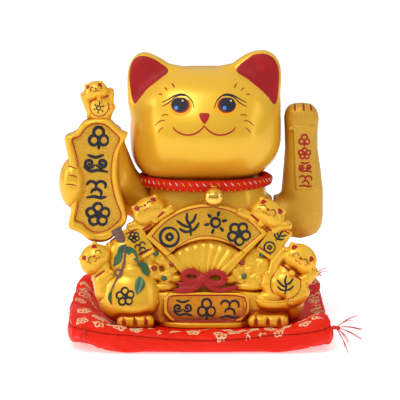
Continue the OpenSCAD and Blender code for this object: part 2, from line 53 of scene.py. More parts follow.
class Axes:
    """A local frame: u and v lie in a surface, w points out of it."""

    def __init__(self, origin, u, v):
        self.o = np.array(origin, float)
        u, v = np.array(u, float), np.array(v, float)
        self.m = np.array([u / np.linalg.norm(u), v / np.linalg.norm(v), (0, 0, 0)])
        self.m[2] = np.cross(self.m[0], self.m[1])

    def world(self, p):
        return np.asarray(p, float) @ self.m + self.o

    def local(self, p):
        x, y, z = (p[i] - self.o[i] for i in range(3))
        return [self.m[i][0] * x + self.m[i][1] * y + self.m[i][2] * z for i in range(3)]

    def moved(self, u, v, w=0.0, turn=0.0, tilt=0.0):
        """The frame at (u, v, w), turned about w, then tilted about its own u."""
        t, s = math.radians(turn), math.radians(tilt)
        a = self.m[0] * math.cos(t) + self.m[1] * math.sin(t)
        b = -self.m[0] * math.sin(t) + self.m[1] * math.cos(t)
        n = self.m[2]
        return Axes(self.world((u, v, w)), a, b * math.cos(s) + n * math.sin(s))


WORLD = Axes((0, 0, 0), (1, 0, 0), (0, 1, 0))
FACE = Axes((0, 0, 0), (1, 0, 0), (0, 0, 1))  # u is x, v is z, w looks to -y
BELLY = Axes((0, FRONT_Y, SEAT_Z), (1, 0, 0), (0, math.sin(LEAN), math.cos(LEAN)))


# ---------- distance fields ----------


def length(*q):
    return np.sqrt(sum(a * a for a in q))


def smin(a, b, k=3.0):
    h = np.clip(0.5 + 0.5 * (b - a) / k, 0, 1)
    return b + (a - b) * h - k * h * (1 - h)


def smax(a, b, k=2.0):
    return -smin(-a, -b, k)


def join(k, *fields):
    out = fields[0]
    for f in fields[1:]:
        out = smin(out, f, k)
    return out


def egg(p, c, r):
    q = [p[i] - c[i] for i in range(3)]
    k0 = length(*[q[i] / r[i] for i in range(3)])
    k1 = length(*[q[i] / r[i] ** 2 for i in range(3)]) + 1e-6
    return k0 * (k0 - 1) / k1


def limb(p, a, b, ra, rb):
    a, b = np.array(a, float), np.array(b, float)
    d = b - a
    h = sum((p[i] - a[i]) * d[i] for i in range(3)) / float(d @ d)
    h = np.clip(h, 0, 1)
    return length(*[p[i] - a[i] - h * d[i] for i in range(3)]) - (ra + (rb - ra) * h)


def limbs(p, points, radii, k=0.5):
    return join(k, *[limb(p, points[i], points[i + 1], radii[i], radii[i + 1]) for i in range(len(points) - 1)])


def slab(p, c, half, r=1.0):
    d = [np.abs(p[i] - c[i]) - half[i] + r for i in range(3)]
    outside = length(*[np.maximum(a, 0) for a in d])
    return outside + np.minimum(np.maximum(d[0], np.maximum(d[1], d[2])), 0) - r


def polygon2(u, v, points):
    """Signed distance to a closed outline."""
    pts = np.array(points, float)
    best = np.full(u.shape, 1e9)
    inside = np.zeros(u.shape, bool)
    for a, b in zip(pts, np.roll(pts, -1, 0)):
        e = b - a
        wu, wv = u - a[0], v - a[1]
        t = np.clip((wu * e[0] + wv * e[1]) / float(e @ e), 0, 1)
        best = np.minimum(best, (wu - e[0] * t) ** 2 + (wv - e[1] * t) ** 2)
        crosses = (a[1] > v) != (b[1] > v)
        slope = e[0] / (e[1] if abs(e[1]) > 1e-9 else 1e-9)
        inside ^= crosses & (u < a[0] + (v - a[1]) * slope)
    return np.where(inside, -1, 1) * np.sqrt(best)


def smooth2(u, v, points, count):
    """Signed distance to the smooth closed outline through points."""
    return polygon2(u, v, curve(points, count, closed=True))


def pressed(flat, w, low, high, r=1.2):
    """A flat outline given height from low to high, with rounded edges."""
    d = np.abs(w - (low + high) / 2) - (high - low) / 2 + r
    g = flat + r
    return length(np.maximum(g, 0), np.maximum(d, 0)) + np.minimum(np.maximum(g, d), 0) - r


def curve(points, count=40, closed=False):
    """A smooth line through points."""
    pts = np.array(points, float)
    n = len(pts)
    spans = n if closed else n - 1
    out = []
    for s in np.linspace(0, spans, count, endpoint=not closed):
        i = min(int(s), spans - 1)
        t = s - i
        if closed:
            p = [pts[(i + k) % n] for k in (-1, 0, 1, 2)]
        else:
            p = [pts[min(max(i + k, 0), n - 1)] for k in (-1, 0, 1, 2)]
            if i == 0:
                p[0] = 2 * p[1] - p[2]
            if i == n - 2:
                p[3] = 2 * p[2] - p[1]
        out.append(0.5 * ((2 * p[1]) + (p[2] - p[0]) * t + (2 * p[0] - 5 * p[1] + 4 * p[2] - p[3]) * t * t
                          + (3 * p[1] - p[0] - 3 * p[2] + p[3]) * t ** 3))
    return np.array(out)


# ---------- pieces ----------

ROOT = "figure"
fields = []  # (low, high, function of world points) of each ceramic piece, for the recess shading
glazed = []  # objects that get the recess shading
made = {}  # cast objects by name


def make_mesh(name, points, faces, body=ROOT, slot=None, material=None, smooth=True, replaces=()):
    mesh = bpy.data.meshes.new(name)
    mesh.from_pydata((np.asarray(points, float) * MM).tolist(), [], [list(map(int, f)) for f in faces])
    mesh.update()
    if smooth:
        mesh.polygons.foreach_set("use_smooth", [True] * len(mesh.polygons))
    obj = bpy.data.objects.new(name, mesh)
    bpy.context.scene.collection.objects.link(obj)
    if material is not None:
        mesh.materials.append(material)
    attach(obj, body)
    if replaces:
        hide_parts(*replaces)
    return obj


def relaxed(points, quads):
    """One light smoothing pass, which evens out sliver faces."""
    a, b, n = quads.ravel(), np.roll(quads, -1, 1).ravel(), len(points)
    count = np.maximum(np.bincount(a, minlength=n) + np.bincount(b, minlength=n), 1)
    near = [(np.bincount(a, points[b, k], n) + np.bincount(b, points[a, k], n)) / count for k in range(3)]
    return 0.5 * points + 0.5 * np.stack(near, 1)


def polygonise(field, low, step):
    grid = openvdb.FloatGrid()
    grid.copyFromArray(np.ascontiguousarray(field, np.float32))
    points, triangles, quads = grid.convertToPolygons(isovalue=0.0, adaptivity=0.0)
    return np.asarray(low, float) + step * relaxed(points, quads), quads.tolist() + triangles.tolist()


def cast(name, low, high, step, shape, axes=WORLD, body=ROOT, slot="gold_glaze", material=None,
         shade=True):
    """A piece from a distance field, in place of the CAD node of its name.

    The box, and the points that shape gets, are in axes.
    """
    step = step * 1.0
    low, high = np.array(low, float), np.array(high, float)
    count = np.ceil((high - low) / step).astype(int) + 1
    line = [(low[i] + step * np.arange(count[i])).astype(np.float32) for i in range(3)]
    p = np.meshgrid(*line, indexing="ij")
    field = shape(p).astype(np.float32)
    for i in range(3):  # closed at the box's sides
        for end in (0, -1):
            index = [slice(None)] * 3
            index[i] = end
            field[tuple(index)] = np.maximum(field[tuple(index)], 0.3 * step)
    points, faces = polygonise(field, low, step)
    obj = made[name] = make_mesh(name, axes.world(points), faces, body, slot, material or GOLD, replaces=(name,))
    if shade:
        glazed.append(obj)
    if shade and body == ROOT:
        corners = axes.world([[x, y, z] for x in (low[0], high[0]) for y in (low[1], high[1])
                              for z in (low[2], high[2])])
        fields.append((corners.min(0), corners.max(0), lambda q: shape(axes.local(q))))
    return obj


def read_mesh(mesh, kind="co", items="vertices"):
    """Positions, normals or centres as rows."""
    out = np.empty(3 * len(getattr(mesh, items)))
    getattr(mesh, items).foreach_get(kind, out)
    return out.reshape(-1, 3)


def second_material(obj, material, inside):
    """The faces that inside() picks, by their middles in millimetres, get another material."""
    mesh = obj.data
    mesh.materials.append(material)
    chosen = inside(read_mesh(mesh, "center", "polygons").T / MM)
    mesh.polygons.foreach_set("material_index", chosen.astype(np.int32))


def surface(*objs):
    """A tree for finding points on these pieces, in millimetres."""
    points, faces = [], []
    for o in objs:
        start = len(points)
        points += [Vector(v.co) / MM for v in o.data.vertices]
        faces += [[start + i for i in f.vertices] for f in o.data.polygons]
    return BVHTree.FromPolygons(points, faces)


class Decal:
    """Collects painted strokes and patches that lie on a surface, then makes one piece of them."""

    def __init__(self, tree, axes=FACE, reach=130.0):
        self.tree, self.axes, self.reach = tree, axes, reach
        self.points, self.faces = [], []

    def drop(self, u, v):
        start = self.axes.world((u, v, self.reach))
        hit, normal, _, _ = self.tree.ray_cast(Vector(start), Vector(-self.axes.m[2]), 3 * self.reach)
        if hit is None:
            return None
        n = np.array(normal)
        if n @ self.axes.m[2] < 0:
            n = -n
        return np.array(hit), n

    def rows(self, grid, lifts, closed=False):
        """Faces between rows of equal length; each point is lifted off the surface."""
        start = len(self.points)
        width = len(grid[0])
        last = None
        normals = []
        for row, up in zip(grid, lifts):
            for (u, v), lift in zip(row, up):
                found = self.drop(u, v) or last
                if found is None:
                    found = (self.axes.world((u, v, 0)), self.axes.m[2])
                last = found
                self.points.append(found[0] + found[1] * lift)
                normals.append(found[1])
        quads = []
        for i in range(len(grid) - 1):
            for j in range(width if closed else width - 1):
                a, b = start + i * width + j, start + i * width + (j + 1) % width
                quads.append((a, b, b + width, a + width))
        if closed:
            quads.append(tuple(range(len(self.points) - width, len(self.points))))
        turn = sum(np.cross(self.points[q[2]] - self.points[q[0]],
                            self.points[q[3]] - self.points[q[1]]) @ normals[q[0] - start]
                   for q in quads if len(q) == 4)
        self.faces += quads if turn > 0 else [q[::-1] for q in quads]

    def stroke(self, points, width, height=0.35, taper=0.35, count=None, ends=0.25):
        """A raised brush line. width is in the middle; taper is the width left at its two ends."""
        path = np.array(points, float)
        span = np.sum(np.linalg.norm(np.diff(path, axis=0), axis=1))
        count = count or int(np.clip(span / 1.2, 5, 40))
        path = curve(path, count) if len(path) > 2 else np.linspace(path[0], path[-1], count)
        t = np.gradient(path, axis=0)
        t /= np.linalg.norm(t, axis=1)[:, None] + 1e-9
        side = np.stack([-t[:, 1], t[:, 0]], 1)
        s = np.linspace(0, 1, count)
        shape = np.minimum(1, taper + (1 - taper) * np.sin(np.pi * np.clip(s, 0.02, 0.98)) / 0.7)
        half = 0.5 * width * shape
        path = np.vstack([path[0] - t[0] * half[0] * ends * 3, path, path[-1] + t[-1] * half[-1] * ends * 3])
        side = np.vstack([side[0], side, side[-1]])
        half = np.concatenate([[0.25 * half[0]], half, [0.25 * half[-1]]])
        across = (1, 0.7, 0, -0.7, -1)
        grid = [[path[i] + side[i] * half[i] * a for a in across] for i in range(len(path))]
        up = [(-0.25, 0.75 * height, height, 0.75 * height, -0.25)] * len(path)
        up[0] = up[-1] = (-0.25, -0.1, 0.1 * height, -0.1, -0.25)
        self.rows(grid, up)

    def patch(self, outline, height=0.3, rings=5, count=48, smooth=True):
        """A filled shape: rings shrink to its middle."""
        edge = curve(outline, count, closed=True) if smooth else np.array(outline, float)
        middle = edge.mean(0)
        scales = [1.0, 0.97] + list(np.linspace(0.9, 0.02, rings))
        grid = [[middle + (e - middle) * s for e in edge] for s in scales]
        up = [[-0.25] * len(edge)] + [[height] * len(edge)] * (len(scales) - 1)
        self.rows(grid, up, closed=True)

    def disc(self, u, v, ru, rv, height=0.3, turn=0.0, top=9.0, count=40):
        """An ellipse, cut off at height top above its middle."""
        a = np.linspace(0, 2 * np.pi, count, endpoint=False)
        x, y = ru * np.cos(a), np.minimum(rv * np.sin(a), top)
        c, s = math.cos(math.radians(turn)), math.sin(math.radians(turn))
        self.patch(np.stack([u + x * c - y * s, v + x * s + y * c], 1), height, smooth=False)

    def piece(self, name, material, slot, body=ROOT, replaces=()):
        return make_mesh(name, self.points, self.faces, body, slot, material, replaces=replaces)


# ---------- materials ----------


class Nodes:
    """A material's node tree, with the shader's constants set on its own sockets."""

    def __init__(self, name, color, rough, metallic=0.0, **sockets):
        self.m = bpy.data.materials.new(name)
        self.m.use_nodes = True
        self.t = self.m.node_tree
        self.b = self.t.nodes["Principled BSDF"]
        self.set(self.b, "Base Color", (*color, 1.0))
        self.set(self.b, "Roughness", rough)
        self.set(self.b, "Metallic", metallic)
        for key, value in sockets.items():
            self.set(self.b, key.replace("_", " "), value)

    def set(self, node, socket, value):
        node.inputs[socket].default_value = value

    def add(self, kind, **values):
        n = self.t.nodes.new("ShaderNode" + kind)
        for key, value in values.items():
            if hasattr(n, key):
                setattr(n, key, value)
            else:
                self.set(n, key.replace("_", " "), value)
        return n

    def link(self, a, b):
        self.t.links.new(a, b)

    def coords(self):
        return self.add("TexCoord").outputs["Object"]

    def noise(self, scale, detail=3.0, rough=0.55):
        n = self.add("TexNoise", Scale=scale, Detail=detail, Roughness=rough)
        self.link(self.coords(), n.inputs["Vector"])
        return n.outputs["Fac"]

    def ramp(self, value, *stops):
        """stops are (position, colour or grey)."""
        n = self.add("ValToRGB")
        e = n.color_ramp.elements
        while len(e) < len(stops):
            e.new(0.5)
        for item, (at, c) in zip(e, stops):
            item.position = at
            item.color = (*c, 1.0) if isinstance(c, (tuple, list)) else (c, c, c, 1.0)
        self.link(value, n.inputs["Fac"])
        return n.outputs["Color"]

    def mix(self, factor, a, b, kind="MIX"):
        n = self.add("Mix", data_type="RGBA", blend_type=kind)
        for socket, value in ((n.inputs[0], factor), (n.inputs[6], a), (n.inputs[7], b)):
            if isinstance(value, bpy.types.NodeSocket):
                self.link(value, socket)
            else:
                socket.default_value = value if isinstance(value, (int, float)) else (*value, 1.0)
        return n.outputs[2]

    def math(self, kind, a, b):
        n = self.add("Math", operation=kind)
        for socket, value in zip(n.inputs, (a, b)):
            if isinstance(value, bpy.types.NodeSocket):
                self.link(value, socket)
            else:
                socket.default_value = value
        return n.outputs[0]

    def attribute(self, name):
        n = self.add("Attribute")
        n.attribute_name = name
        return n.outputs["Fac"]

    def bump(self, height, strength, distance):
        n = self.add("Bump", Strength=strength, Distance=distance)
        self.link(height, n.inputs["Height"])
        old = self.b.inputs["Normal"]
        if old.is_linked:
            self.link(old.links[0].from_socket, n.inputs["Normal"])
        self.link(n.outputs["Normal"], old)

    def base(self, colour):
        self.link(colour, self.b.inputs["Base Color"])

    def rough(self, value):
        self.link(value, self.b.inputs["Roughness"])


def gold_glaze(name, light, deep, brown, stipple=0.0):
    n = Nodes(name, light, 0.31, 0.30, Coat_Weight=0.20, Coat_Roughness=0.10, Specular_IOR_Level=0.2)
    # Painted shade: the shade attribute, with a little noise, turns the glaze from light to deep orange and brown
    # in recesses, on undersides and low down; in the hollows it is partly airbrushed orange.
    shade = n.math("ADD", n.attribute("painted_shade_and_patina"), n.math("MULTIPLY", n.math("SUBTRACT", n.noise(38, 4), 0.5), 0.16))
    colour = n.ramp(shade, (0.0, light), (0.16, light), (0.46, deep), (0.86, brown))
    spots = n.ramp(n.noise(9, 2), (0.35, 0.90), (0.65, 1.0))
    colour = n.mix(1.0, colour, spots, "MULTIPLY")
    if stipple:
        grain = n.noise(520, 2.5, 0.6)
        colour = n.mix(n.ramp(grain, (0.30, 0.55), (0.52, 0.0)), colour, deep)
        n.bump(grain, 0.9, stipple * MM)
    n.base(colour)
    n.bump(n.noise(70, 1), 0.20, 0.3 * MM)
    return n.m


def enamel(name, colour, second, rough=0.28, scale=90, coat=0.15):
    n = Nodes(name, colour, rough + 0.07, 0.0, Coat_Weight=coat, Coat_Roughness=0.12, Specular_IOR_Level=0.3)
    n.base(n.mix(n.ramp(n.noise(scale, 4), (0.35, 0.0), (0.7, 1.0)), colour, second))
    n.bump(n.noise(240, 1), 0.15, 0.2 * MM)
    return n.m


GOLD = gold_glaze("gold_glaze", (0.86, 0.480, 0.030), (0.76, 0.290, 0.004), (0.40, 0.050, 0.001))
GOLD_STIPPLE = gold_glaze("gold_stipple", (0.72, 0.39, 0.022), (0.54, 0.19, 0.004), (0.34, 0.060, 0.002),
                          stipple=1.0)
RED = enamel("crimson_enamel", (0.38, 0.004, 0.005), (0.30, 0.003, 0.004), 0.50, coat=0.03)
RED_LINE = enamel("red_brush_line", (0.42, 0.004, 0.008), (0.33, 0.004, 0.006), 0.40, coat=0.05)
INK = enamel("dark_brush_line", (0.008, 0.010, 0.018), (0.013, 0.015, 0.028), 0.42, coat=0.05)


# ---------- the other materials ----------


def thread_of(name, colour, rough=0.75):
    n = Nodes(name, colour, rough, Specular_IOR_Level=0.2)
    dark = tuple(c * 0.72 for c in colour)
    n.base(n.mix(n.ramp(n.noise(650, 3), (0.3, 0.0), (0.7, 1.0)), colour, dark))
    n.bump(n.noise(900, 3), 0.35, 0.2 * MM)
    return n.m


def metal(name, colour, rough=0.3, scale=200, dull=0.12, bump=0.1):
    n = Nodes(name, colour, rough, 1.0)
    worn = tuple(c * 0.8 for c in colour)
    n.base(n.mix(n.ramp(n.noise(scale, 4), (0.35, 0.0), (0.7, 1.0)), colour, worn))
    n.rough(n.ramp(n.noise(scale, 3), (0.3, rough), (0.7, rough + dull)))
    n.bump(n.noise(scale * 3, 3), bump, 0.08 * MM)
    return n.m


def plastic(name, colour, rough):
    n = Nodes(name, colour, rough, Specular_IOR_Level=0.5)
    n.base(n.mix(n.ramp(n.noise(40, 3), (0.35, 0.0), (0.7, 1.0)), colour, tuple(c * 0.88 for c in colour)))
    n.rough(n.ramp(n.noise(160, 3), (0.3, rough), (0.7, rough + 0.1)))
    n.bump(n.noise(800, 3), 0.2, 0.12 * MM)
    return n.m


def sand_gold():
    n = Nodes("flocked_gold", (0.50, 0.25, 0.03), 0.5, 0.45, Coat_Weight=0.15, Coat_Roughness=0.3)
    # Painted shade: the same shade attribute darkens the flocked gold in recesses, on undersides and low down.
    shade = n.math("ADD", n.attribute("painted_shade_and_patina"), n.math("MULTIPLY", n.math("SUBTRACT", n.noise(60, 4), 0.5), 0.2))
    colour = n.ramp(shade, (0.0, (0.66, 0.36, 0.022)), (0.16, (0.64, 0.34, 0.018)), (0.50, (0.50, 0.17, 0.003)),
                    (0.9, (0.26, 0.05, 0.001)))
    grain = n.noise(1100, 2, 0.7)
    colour = n.mix(n.ramp(grain, (0.34, 0.45), (0.5, 0.0)), colour, (0.42, 0.20, 0.02))
    n.base(colour)
    n.rough(n.ramp(grain, (0.3, 0.62), (0.7, 0.40)))
    n.bump(grain, 0.8, 0.35 * MM)
    return n.m


def leafy():
    n = Nodes("leaf_enamel", (0.05, 0.12, 0.03), 0.35, Coat_Weight=0.3, Coat_Roughness=0.15)
    n.base(n.ramp(n.noise(140, 4), (0.3, (0.014, 0.070, 0.024)), (0.55, (0.025, 0.115, 0.038)),
                  (0.75, (0.06, 0.15, 0.04))))
    n.rough(n.ramp(n.noise(200, 3), (0.3, 0.3), (0.7, 0.48)))
    n.bump(n.noise(300, 3), 0.3, 0.3 * MM)
    return n.m


def brocade():
    n = Nodes("red_brocade", (0.76, 0.012, 0.001), 0.50, Specular_IOR_Level=0.16)
    colour = n.ramp(n.noise(26, 4), (0.3, (0.74, 0.010, 0.001)), (0.7, (0.84, 0.018, 0.001)))
    threads = n.add("TexWave", wave_type="BANDS", bands_direction="DIAGONAL", Scale=420.0, Distortion=1.0,
                    Detail=1.0)
    n.link(n.coords(), threads.inputs["Vector"])
    n.base(n.mix(n.ramp(threads.outputs["Fac"], (0.2, 0.35), (0.8, 0.0)), colour, (0.60, 0.008, 0.001)))
    n.rough(n.ramp(threads.outputs["Fac"], (0.2, 0.54), (0.8, 0.44)))
    n.bump(threads.outputs["Fac"], 0.25, 0.15 * MM)
    n.bump(n.noise(700, 3), 0.2, 0.12 * MM)
    return n.m


SAND = sand_gold()
GREEN = leafy()
STEM = enamel("stem_enamel", (0.14, 0.060, 0.050), (0.20, 0.10, 0.09), 0.45, scale=220)
ROPE_RED = thread_of("rope_red", (0.78, 0.020, 0.003))
GILT = metal("gilt_brass", (0.92, 0.56, 0.10), 0.20, 260, 0.10)
STEEL = metal("bright_steel", (0.62, 0.62, 0.63), 0.26)
IRON = metal("weight_iron", (0.20, 0.20, 0.21), 0.5, 140, 0.15, 0.3)
NICKEL = metal("magnet_nickel", (0.66, 0.63, 0.58), 0.18)
BRONZE = metal("bush_bronze", (0.50, 0.28, 0.12), 0.42, 300, 0.1, 0.2)
WIRE = metal("enamelled_wire", (0.72, 0.24, 0.06), 0.24, 500, 0.08)
LAMINATE = plastic("board_laminate", (0.03, 0.16, 0.06), 0.42)
SLEEVE = plastic("lead_sleeve", (0.30, 0.01, 0.01), 0.42)
CELL = plastic("cell_sleeve", (0.05, 0.06, 0.08), 0.30)
IVORY = plastic("ivory_plastic", (0.66, 0.60, 0.46), 0.42)
GOLD_PLASTIC = plastic("gold_plastic", (0.78, 0.38, 0.022), 0.36)
BLACK_PLASTIC = plastic("black_plastic", (0.018, 0.018, 0.020), 0.44)
BEAD_GREEN = enamel("bead_green", (0.03, 0.13, 0.03), (0.02, 0.09, 0.03), 0.2, coat=0.7)
BEAD_RED = enamel("bead_red", (0.36, 0.012, 0.008), (0.28, 0.008, 0.008), 0.2, coat=0.7)
BROCADE = brocade()
TASSEL = thread_of("tassel_thread", (0.62, 0.030, 0.016), 0.6)
RIBBON = enamel("ribbon_enamel", (0.40, 0.012, 0.010), (0.33, 0.008, 0.007), 0.42, coat=0.05)
GOLD_EMBER = gold_glaze("gold_ember", (0.72, 0.28, 0.010), (0.50, 0.110, 0.002), (0.24, 0.030, 0.001), stipple=1.1)
BLOSSOM = thread_of("blossom_thread", (0.92, 0.66, 0.36), 0.55)


# ---------- head ----------


def ellipse_norm(a, b, power):
    return (np.abs(a) ** power + np.abs(b) ** power) ** (1 / power)


def skull(p):
    x, y, z = p[0] - 1.2, p[1] - 2.0, p[2] - 196.0
    t = np.where(z > 0, z / 66.0, -z / 51.0)
    a, b = (np.abs(x) / 75.0) ** 2.4, (np.abs(y) / 62.0) ** 2.4
    share = a / (a + b + 1e-6)
    q = np.where(z > 0, 2.35 + 0.6 * share, 2.3 + np.where(x < 0, 0.9, 0.1) * share)
    g = ((a + b) ** (q / 2.4) + t ** q) ** (1 / q) + 1e-6
    return length(x, y, z) * (1 - 1 / g)


EARS = {
    "left": ([(-75.8, 236), (-76.1, 248.6), (-75.2, 259), (-72.2, 267.5), (-67, 274), (-59.5, 276.6), (-52, 274.8),
              (-43.5, 270.6), (-34, 264.8), (-24, 261), (-20, 250), (-36, 236), (-66, 216), (-74.5, 224)],
             [(-74.0, 250), (-73.2, 262), (-69.5, 270.0), (-62.5, 273.9), (-52.5, 272.2), (-44, 267.5),
              (-35.0, 259.5),
              (-44.0, 251.5), (-55.5, 242.5), (-62.5, 234), (-68.6, 226.8), (-72.0, 234.5)]),
    "right": ([(74.8, 236), (75.8, 250), (74.6, 263.5), (70, 272.5), (62.7, 277.6), (55, 278.5), (45, 276.5),
               (35, 271), (27, 265), (18, 261.5), (18, 250), (36, 236), (64, 214), (73.2, 222)],
              [(73.6, 250), (72.8, 262), (69, 270.5), (62.5, 275.2), (54.5, 276.2), (44.8, 273.4), (30.8, 260.5),
               (42.0, 252.0), (54, 242.5), (62, 234.5), (68.5, 226.5), (72, 232)]),
}


def head_shape(p):
    x, y, z = p
    f = skull(p)
    for side in EARS:
        outline = curve(EARS[side][0], 44, closed=True)
        near = (np.abs(x) > 12) & (z > 208)
        ear = np.full(x.shape, 60.0)
        flat = polygon2(x[near], z[near], outline)
        taper = np.clip((z[near] - 240) / 36, 0, 1) * 3.0
        hollow = 2.6 * np.exp(-(np.minimum(flat + 9, 0) / 7.0) ** 2) - 2.6
        ear[near] = pressed(flat, -y[near] + 0.9 * hollow * (y[near] < -8), -7 + taper, 19 - taper, 7.5)
        f = smin(f, ear, 7.0)
    muzzle = egg(p, (0.3, -42, 197), (46, 21.5, 25))
    f = smin(f, muzzle, 18.0)
    neck = (length((x - 0.5) / 54.0, y / 42.0) - 1) * 42
    return smin(f, smax(neck, np.abs(z - 147) - 5, 2), 3.0)


head = cast("head_shell", (-84, -72, 141), (86, 68, 284), 1.7, head_shape)
face = surface(head)

paint = Decal(face)
for side in EARS:
    paint.patch(EARS[side][1], 0.25, rings=7, count=72)
paint.piece("ear_lining", RED, "red_glaze", replaces=("left_ear", "right_ear"))


FACE_MIDDLE = -0.2


def mirrored(points, side):
    return [(FACE_MIDDLE + side * (u - FACE_MIDDLE), v) for u, v in points]


red_lines = Decal(face)
dark_lines = Decal(face)
for side in (1, -1):
    for w, line in ((1.6, [(-32.1, 248.8), (-30.4, 247.2), (-29.2, 244.7)]),
                    (1.5, [(-38.8, 244.7), (-37.3, 243.9), (-35.9, 242.3)]),
                    (1.4, [(-44.6, 238.4), (-42.7, 238.9), (-41.0, 238.1)]),
                    (1.2, [(-41.8, 218.8), (-38.6, 220.2), (-34.8, 219.8)]),
                    (1.2, [(-48.3, 209.0), (-43.3, 213.6), (-37.7, 215.1)]),
                    (1.2, [(-45.0, 202.6), (-43.1, 205.4), (-40.0, 208.1)])):
        red_lines.stroke(mirrored(line, side), w, 0.3, taper=0.25)
    mouth = [(-30.2, 208.3), (-26.9, 204.9), (-21.0, 202.3), (-15.2, 201.7), (-9.3, 203.0), (-4.2, 206.2),
             (0.0, 210.4)]
    red_lines.stroke(mirrored(mouth, side), 1.9, 0.4, taper=0.7, count=30)
    dark_lines.stroke(mirrored([(-9.9, 226.7), (-11.4, 231.4), (-14.2, 235.6), (-18.5, 238.6), (-23.5, 239.4),
                                (-29.5, 237.6),
                                (-35.1, 234.3), (-41.1, 231.3)], side), 1.55, 0.4, taper=0.4, count=34)
    dark_lines.stroke(mirrored([(-17.5, 237.8), (-23.5, 238.3), (-29.0, 236.2), (-34.0, 231.6), (-41.1, 227.4)],
                               side),
                      1.35, 0.4, taper=0.35, count=26)
red_lines.patch([(-5.3, 220.9), (-3.6, 222.1), (-0.2, 222.3), (3.3, 222.1), (5.0, 220.9), (4.2, 218.0),
                 (2.4, 214.8), (-0.1, 212.3),
                 (-2.6, 214.8), (-4.5, 218.0)], 0.7, rings=4)
red_lines.piece("face_red_lines", RED_LINE, "red_glaze")
dark_lines.piece("face_lash_lines", INK, "ink_glaze")

for name, colour, second, du, dv, ru, rv, top, lift in (
        ("iris_rim_yellow", (0.86, 0.33, 0.004), (0.90, 0.42, 0.01), 0.6, -1.0, 11.4, 9.4, 6.2, 0.22),
        ("iris_ring_red", (0.33, 0.035, 0.012), (0.22, 0.015, 0.01), 0.9, -0.2, 9.2, 7.5, 7.0, 0.34),
        ("iris_dark", (0.012, 0.013, 0.022), (0.018, 0.016, 0.030), 0.0, 0.1, 8.0, 6.6, 6.7, 0.46),
        ("iris_blue_spot", (0.05, 0.22, 0.62), (0.09, 0.30, 0.75), -3.1, -3.0, 1.9, 1.9, 9, 0.58),
        ("iris_gold_glint", (0.85, 0.60, 0.12), (0.95, 0.75, 0.3), 3.1, 3.6, 0.8, 0.8, 9, 0.58)):
    spot = Decal(face)
    for side in (-1, 1):
        ring_u = -side * du if name in ("iris_rim_yellow", "iris_ring_red") else du
        spot.disc(-0.9 + side * 23.3 + ring_u, 229.6 + dv, ru, rv, lift, top=top)
    spot.piece(name, enamel(name, colour, second, 0.55, coat=0.0), "ink_glaze")


# ---------- torso, still arm and board ----------

TORSO = [(15, 80, 74), (19, 87, 81), (30, 92, 85), (50, 92, 86), (70, 85, 83), (92, 73, 76), (112, 65.5, 67),
         (130, 61, 55), (142, 59.5, 50), (152, 57, 45), (160, 55, 43)]


def torso_loft(p):
    x, y, z = p
    table = np.array(TORSO)
    w, d = (np.interp(z, table[:, 0], table[:, i]) for i in (1, 2))
    r = ellipse_norm((x - 1.5) / w, (y - 1.5) / d, 2.35)
    f = (r - 1) * length(x - 1.5, y - 1.5) / (r + 1e-6)
    return smax(smax(f, z - 151, 2), 17.0 - z, 4)


def torso_shape(p):
    f = smax(torso_loft(p), BELLY.local(p)[2] + 0.3, 5)
    f = smax(f, p[1] - 72.2, 5)
    boss = limb(p, (40, 0, 112), (67.3, 0, 112), 21.5, 21.5)
    boss = smax(boss, p[0] - 67.6, 2)
    f = smin(f, boss, 5)
    haunch = egg(p, (76, -36, 34), (23, 40, 25))
    return smin(f, smax(haunch, 17.5 - p[2], 3), 9)


cast("torso_shell", (-100, -90, 14), (104, 78, 162), 2.0, torso_shape)


def still_arm_shape(p):
    f = limbs(p, [(-46, 0, 118), (-80, -10, 140), (-92, -18, 165), (-92, -19, 196)], [20, 20, 19, 12], 8)
    f = smin(f, limb(p, (-92, -22, 150), (-124, -36, 152), 20, 16), 10)
    fist = egg(p, (-128.5, -47, 152.5), (13.5, 20, 25))
    for z in (168.5, 160.5, 152.5):
        cut = limb(p, (-136, -68, z + 0.8), (-120, -68.5, z - 0.6), 1.0, 1.3)
        fist = smax(fist, 1.2 - cut, 2.0)
    f = smin(f, fist, 8)
    return f


BOARD_OUT = [(-102.3, 217.0), (-113.5, 215.0), (-119.6, 211.0), (-123.6, 205.2), (-128.1, 202.0), (-134.4, 199.6),
             (-135.6, 196.0), (-133.6, 185.5), (-131.6, 175), (-129.4, 163), (-128.6, 150), (-129.2, 138),
             (-130.6, 124), (-132.9, 112.0), (-131.0, 108.6), (-124.5, 106.0), (-119.0, 102.8), (-113.0, 97.6),
             (-102.5, 95.4), (-92.5, 97.8), (-85.5, 104.5), (-77.5, 113.5), (-75.4, 121), (-78.6, 133),
             (-82.2, 145),
             (-84.6, 159), (-84.4, 174), (-81.5, 188), (-75.0, 199.5), (-76.2, 202.0), (-82.0, 204.8),
             (-86.9, 209.8),
             (-92.4, 215.2)]
BOARD_IN = [(-102.3, 211.6), (-107.0, 211.4), (-112.6, 208.8), (-117.6, 203.6), (-121.0, 199.2), (-127.4, 196.2),
            (-125.6, 186.7), (-123.4, 178.0), (-121.8, 167.0), (-121.3, 154.0), (-121.8, 142), (-123.4, 128.6),
            (-125.4, 117.4), (-119.0, 114.6), (-114.9, 110.0), (-109.9, 106.4), (-103.5, 105.2), (-96.6, 106.4),
            (-89.0, 111.4), (-82.4, 118.0), (-81.6, 124.0), (-86.0, 135.4), (-89.2, 148.4), (-90.8, 160.0),
            (-90.2, 172.0), (-87.8, 185.0), (-82.6, 195.6), (-84.0, 199.4), (-88.4, 203.8), (-93.4, 208.6),
            (-97.8, 211.0)]
BOARD_FACE = FACE.moved(0, 0, 60)


def board_shape(p):
    u, v, w = p
    outer = smooth2(u, v, BOARD_OUT, 110)
    inner = smooth2(u, v, BOARD_IN, 110) - 1.3
    f = pressed(outer, w, -24, 0.4, 3.4)
    rim = np.exp(-((outer + 3.6) / 2.8) ** 2) * 0.9
    return smax(f - rim * (w > -3), -pressed(inner, w, -3.0, 8, 0.6), 1.0)


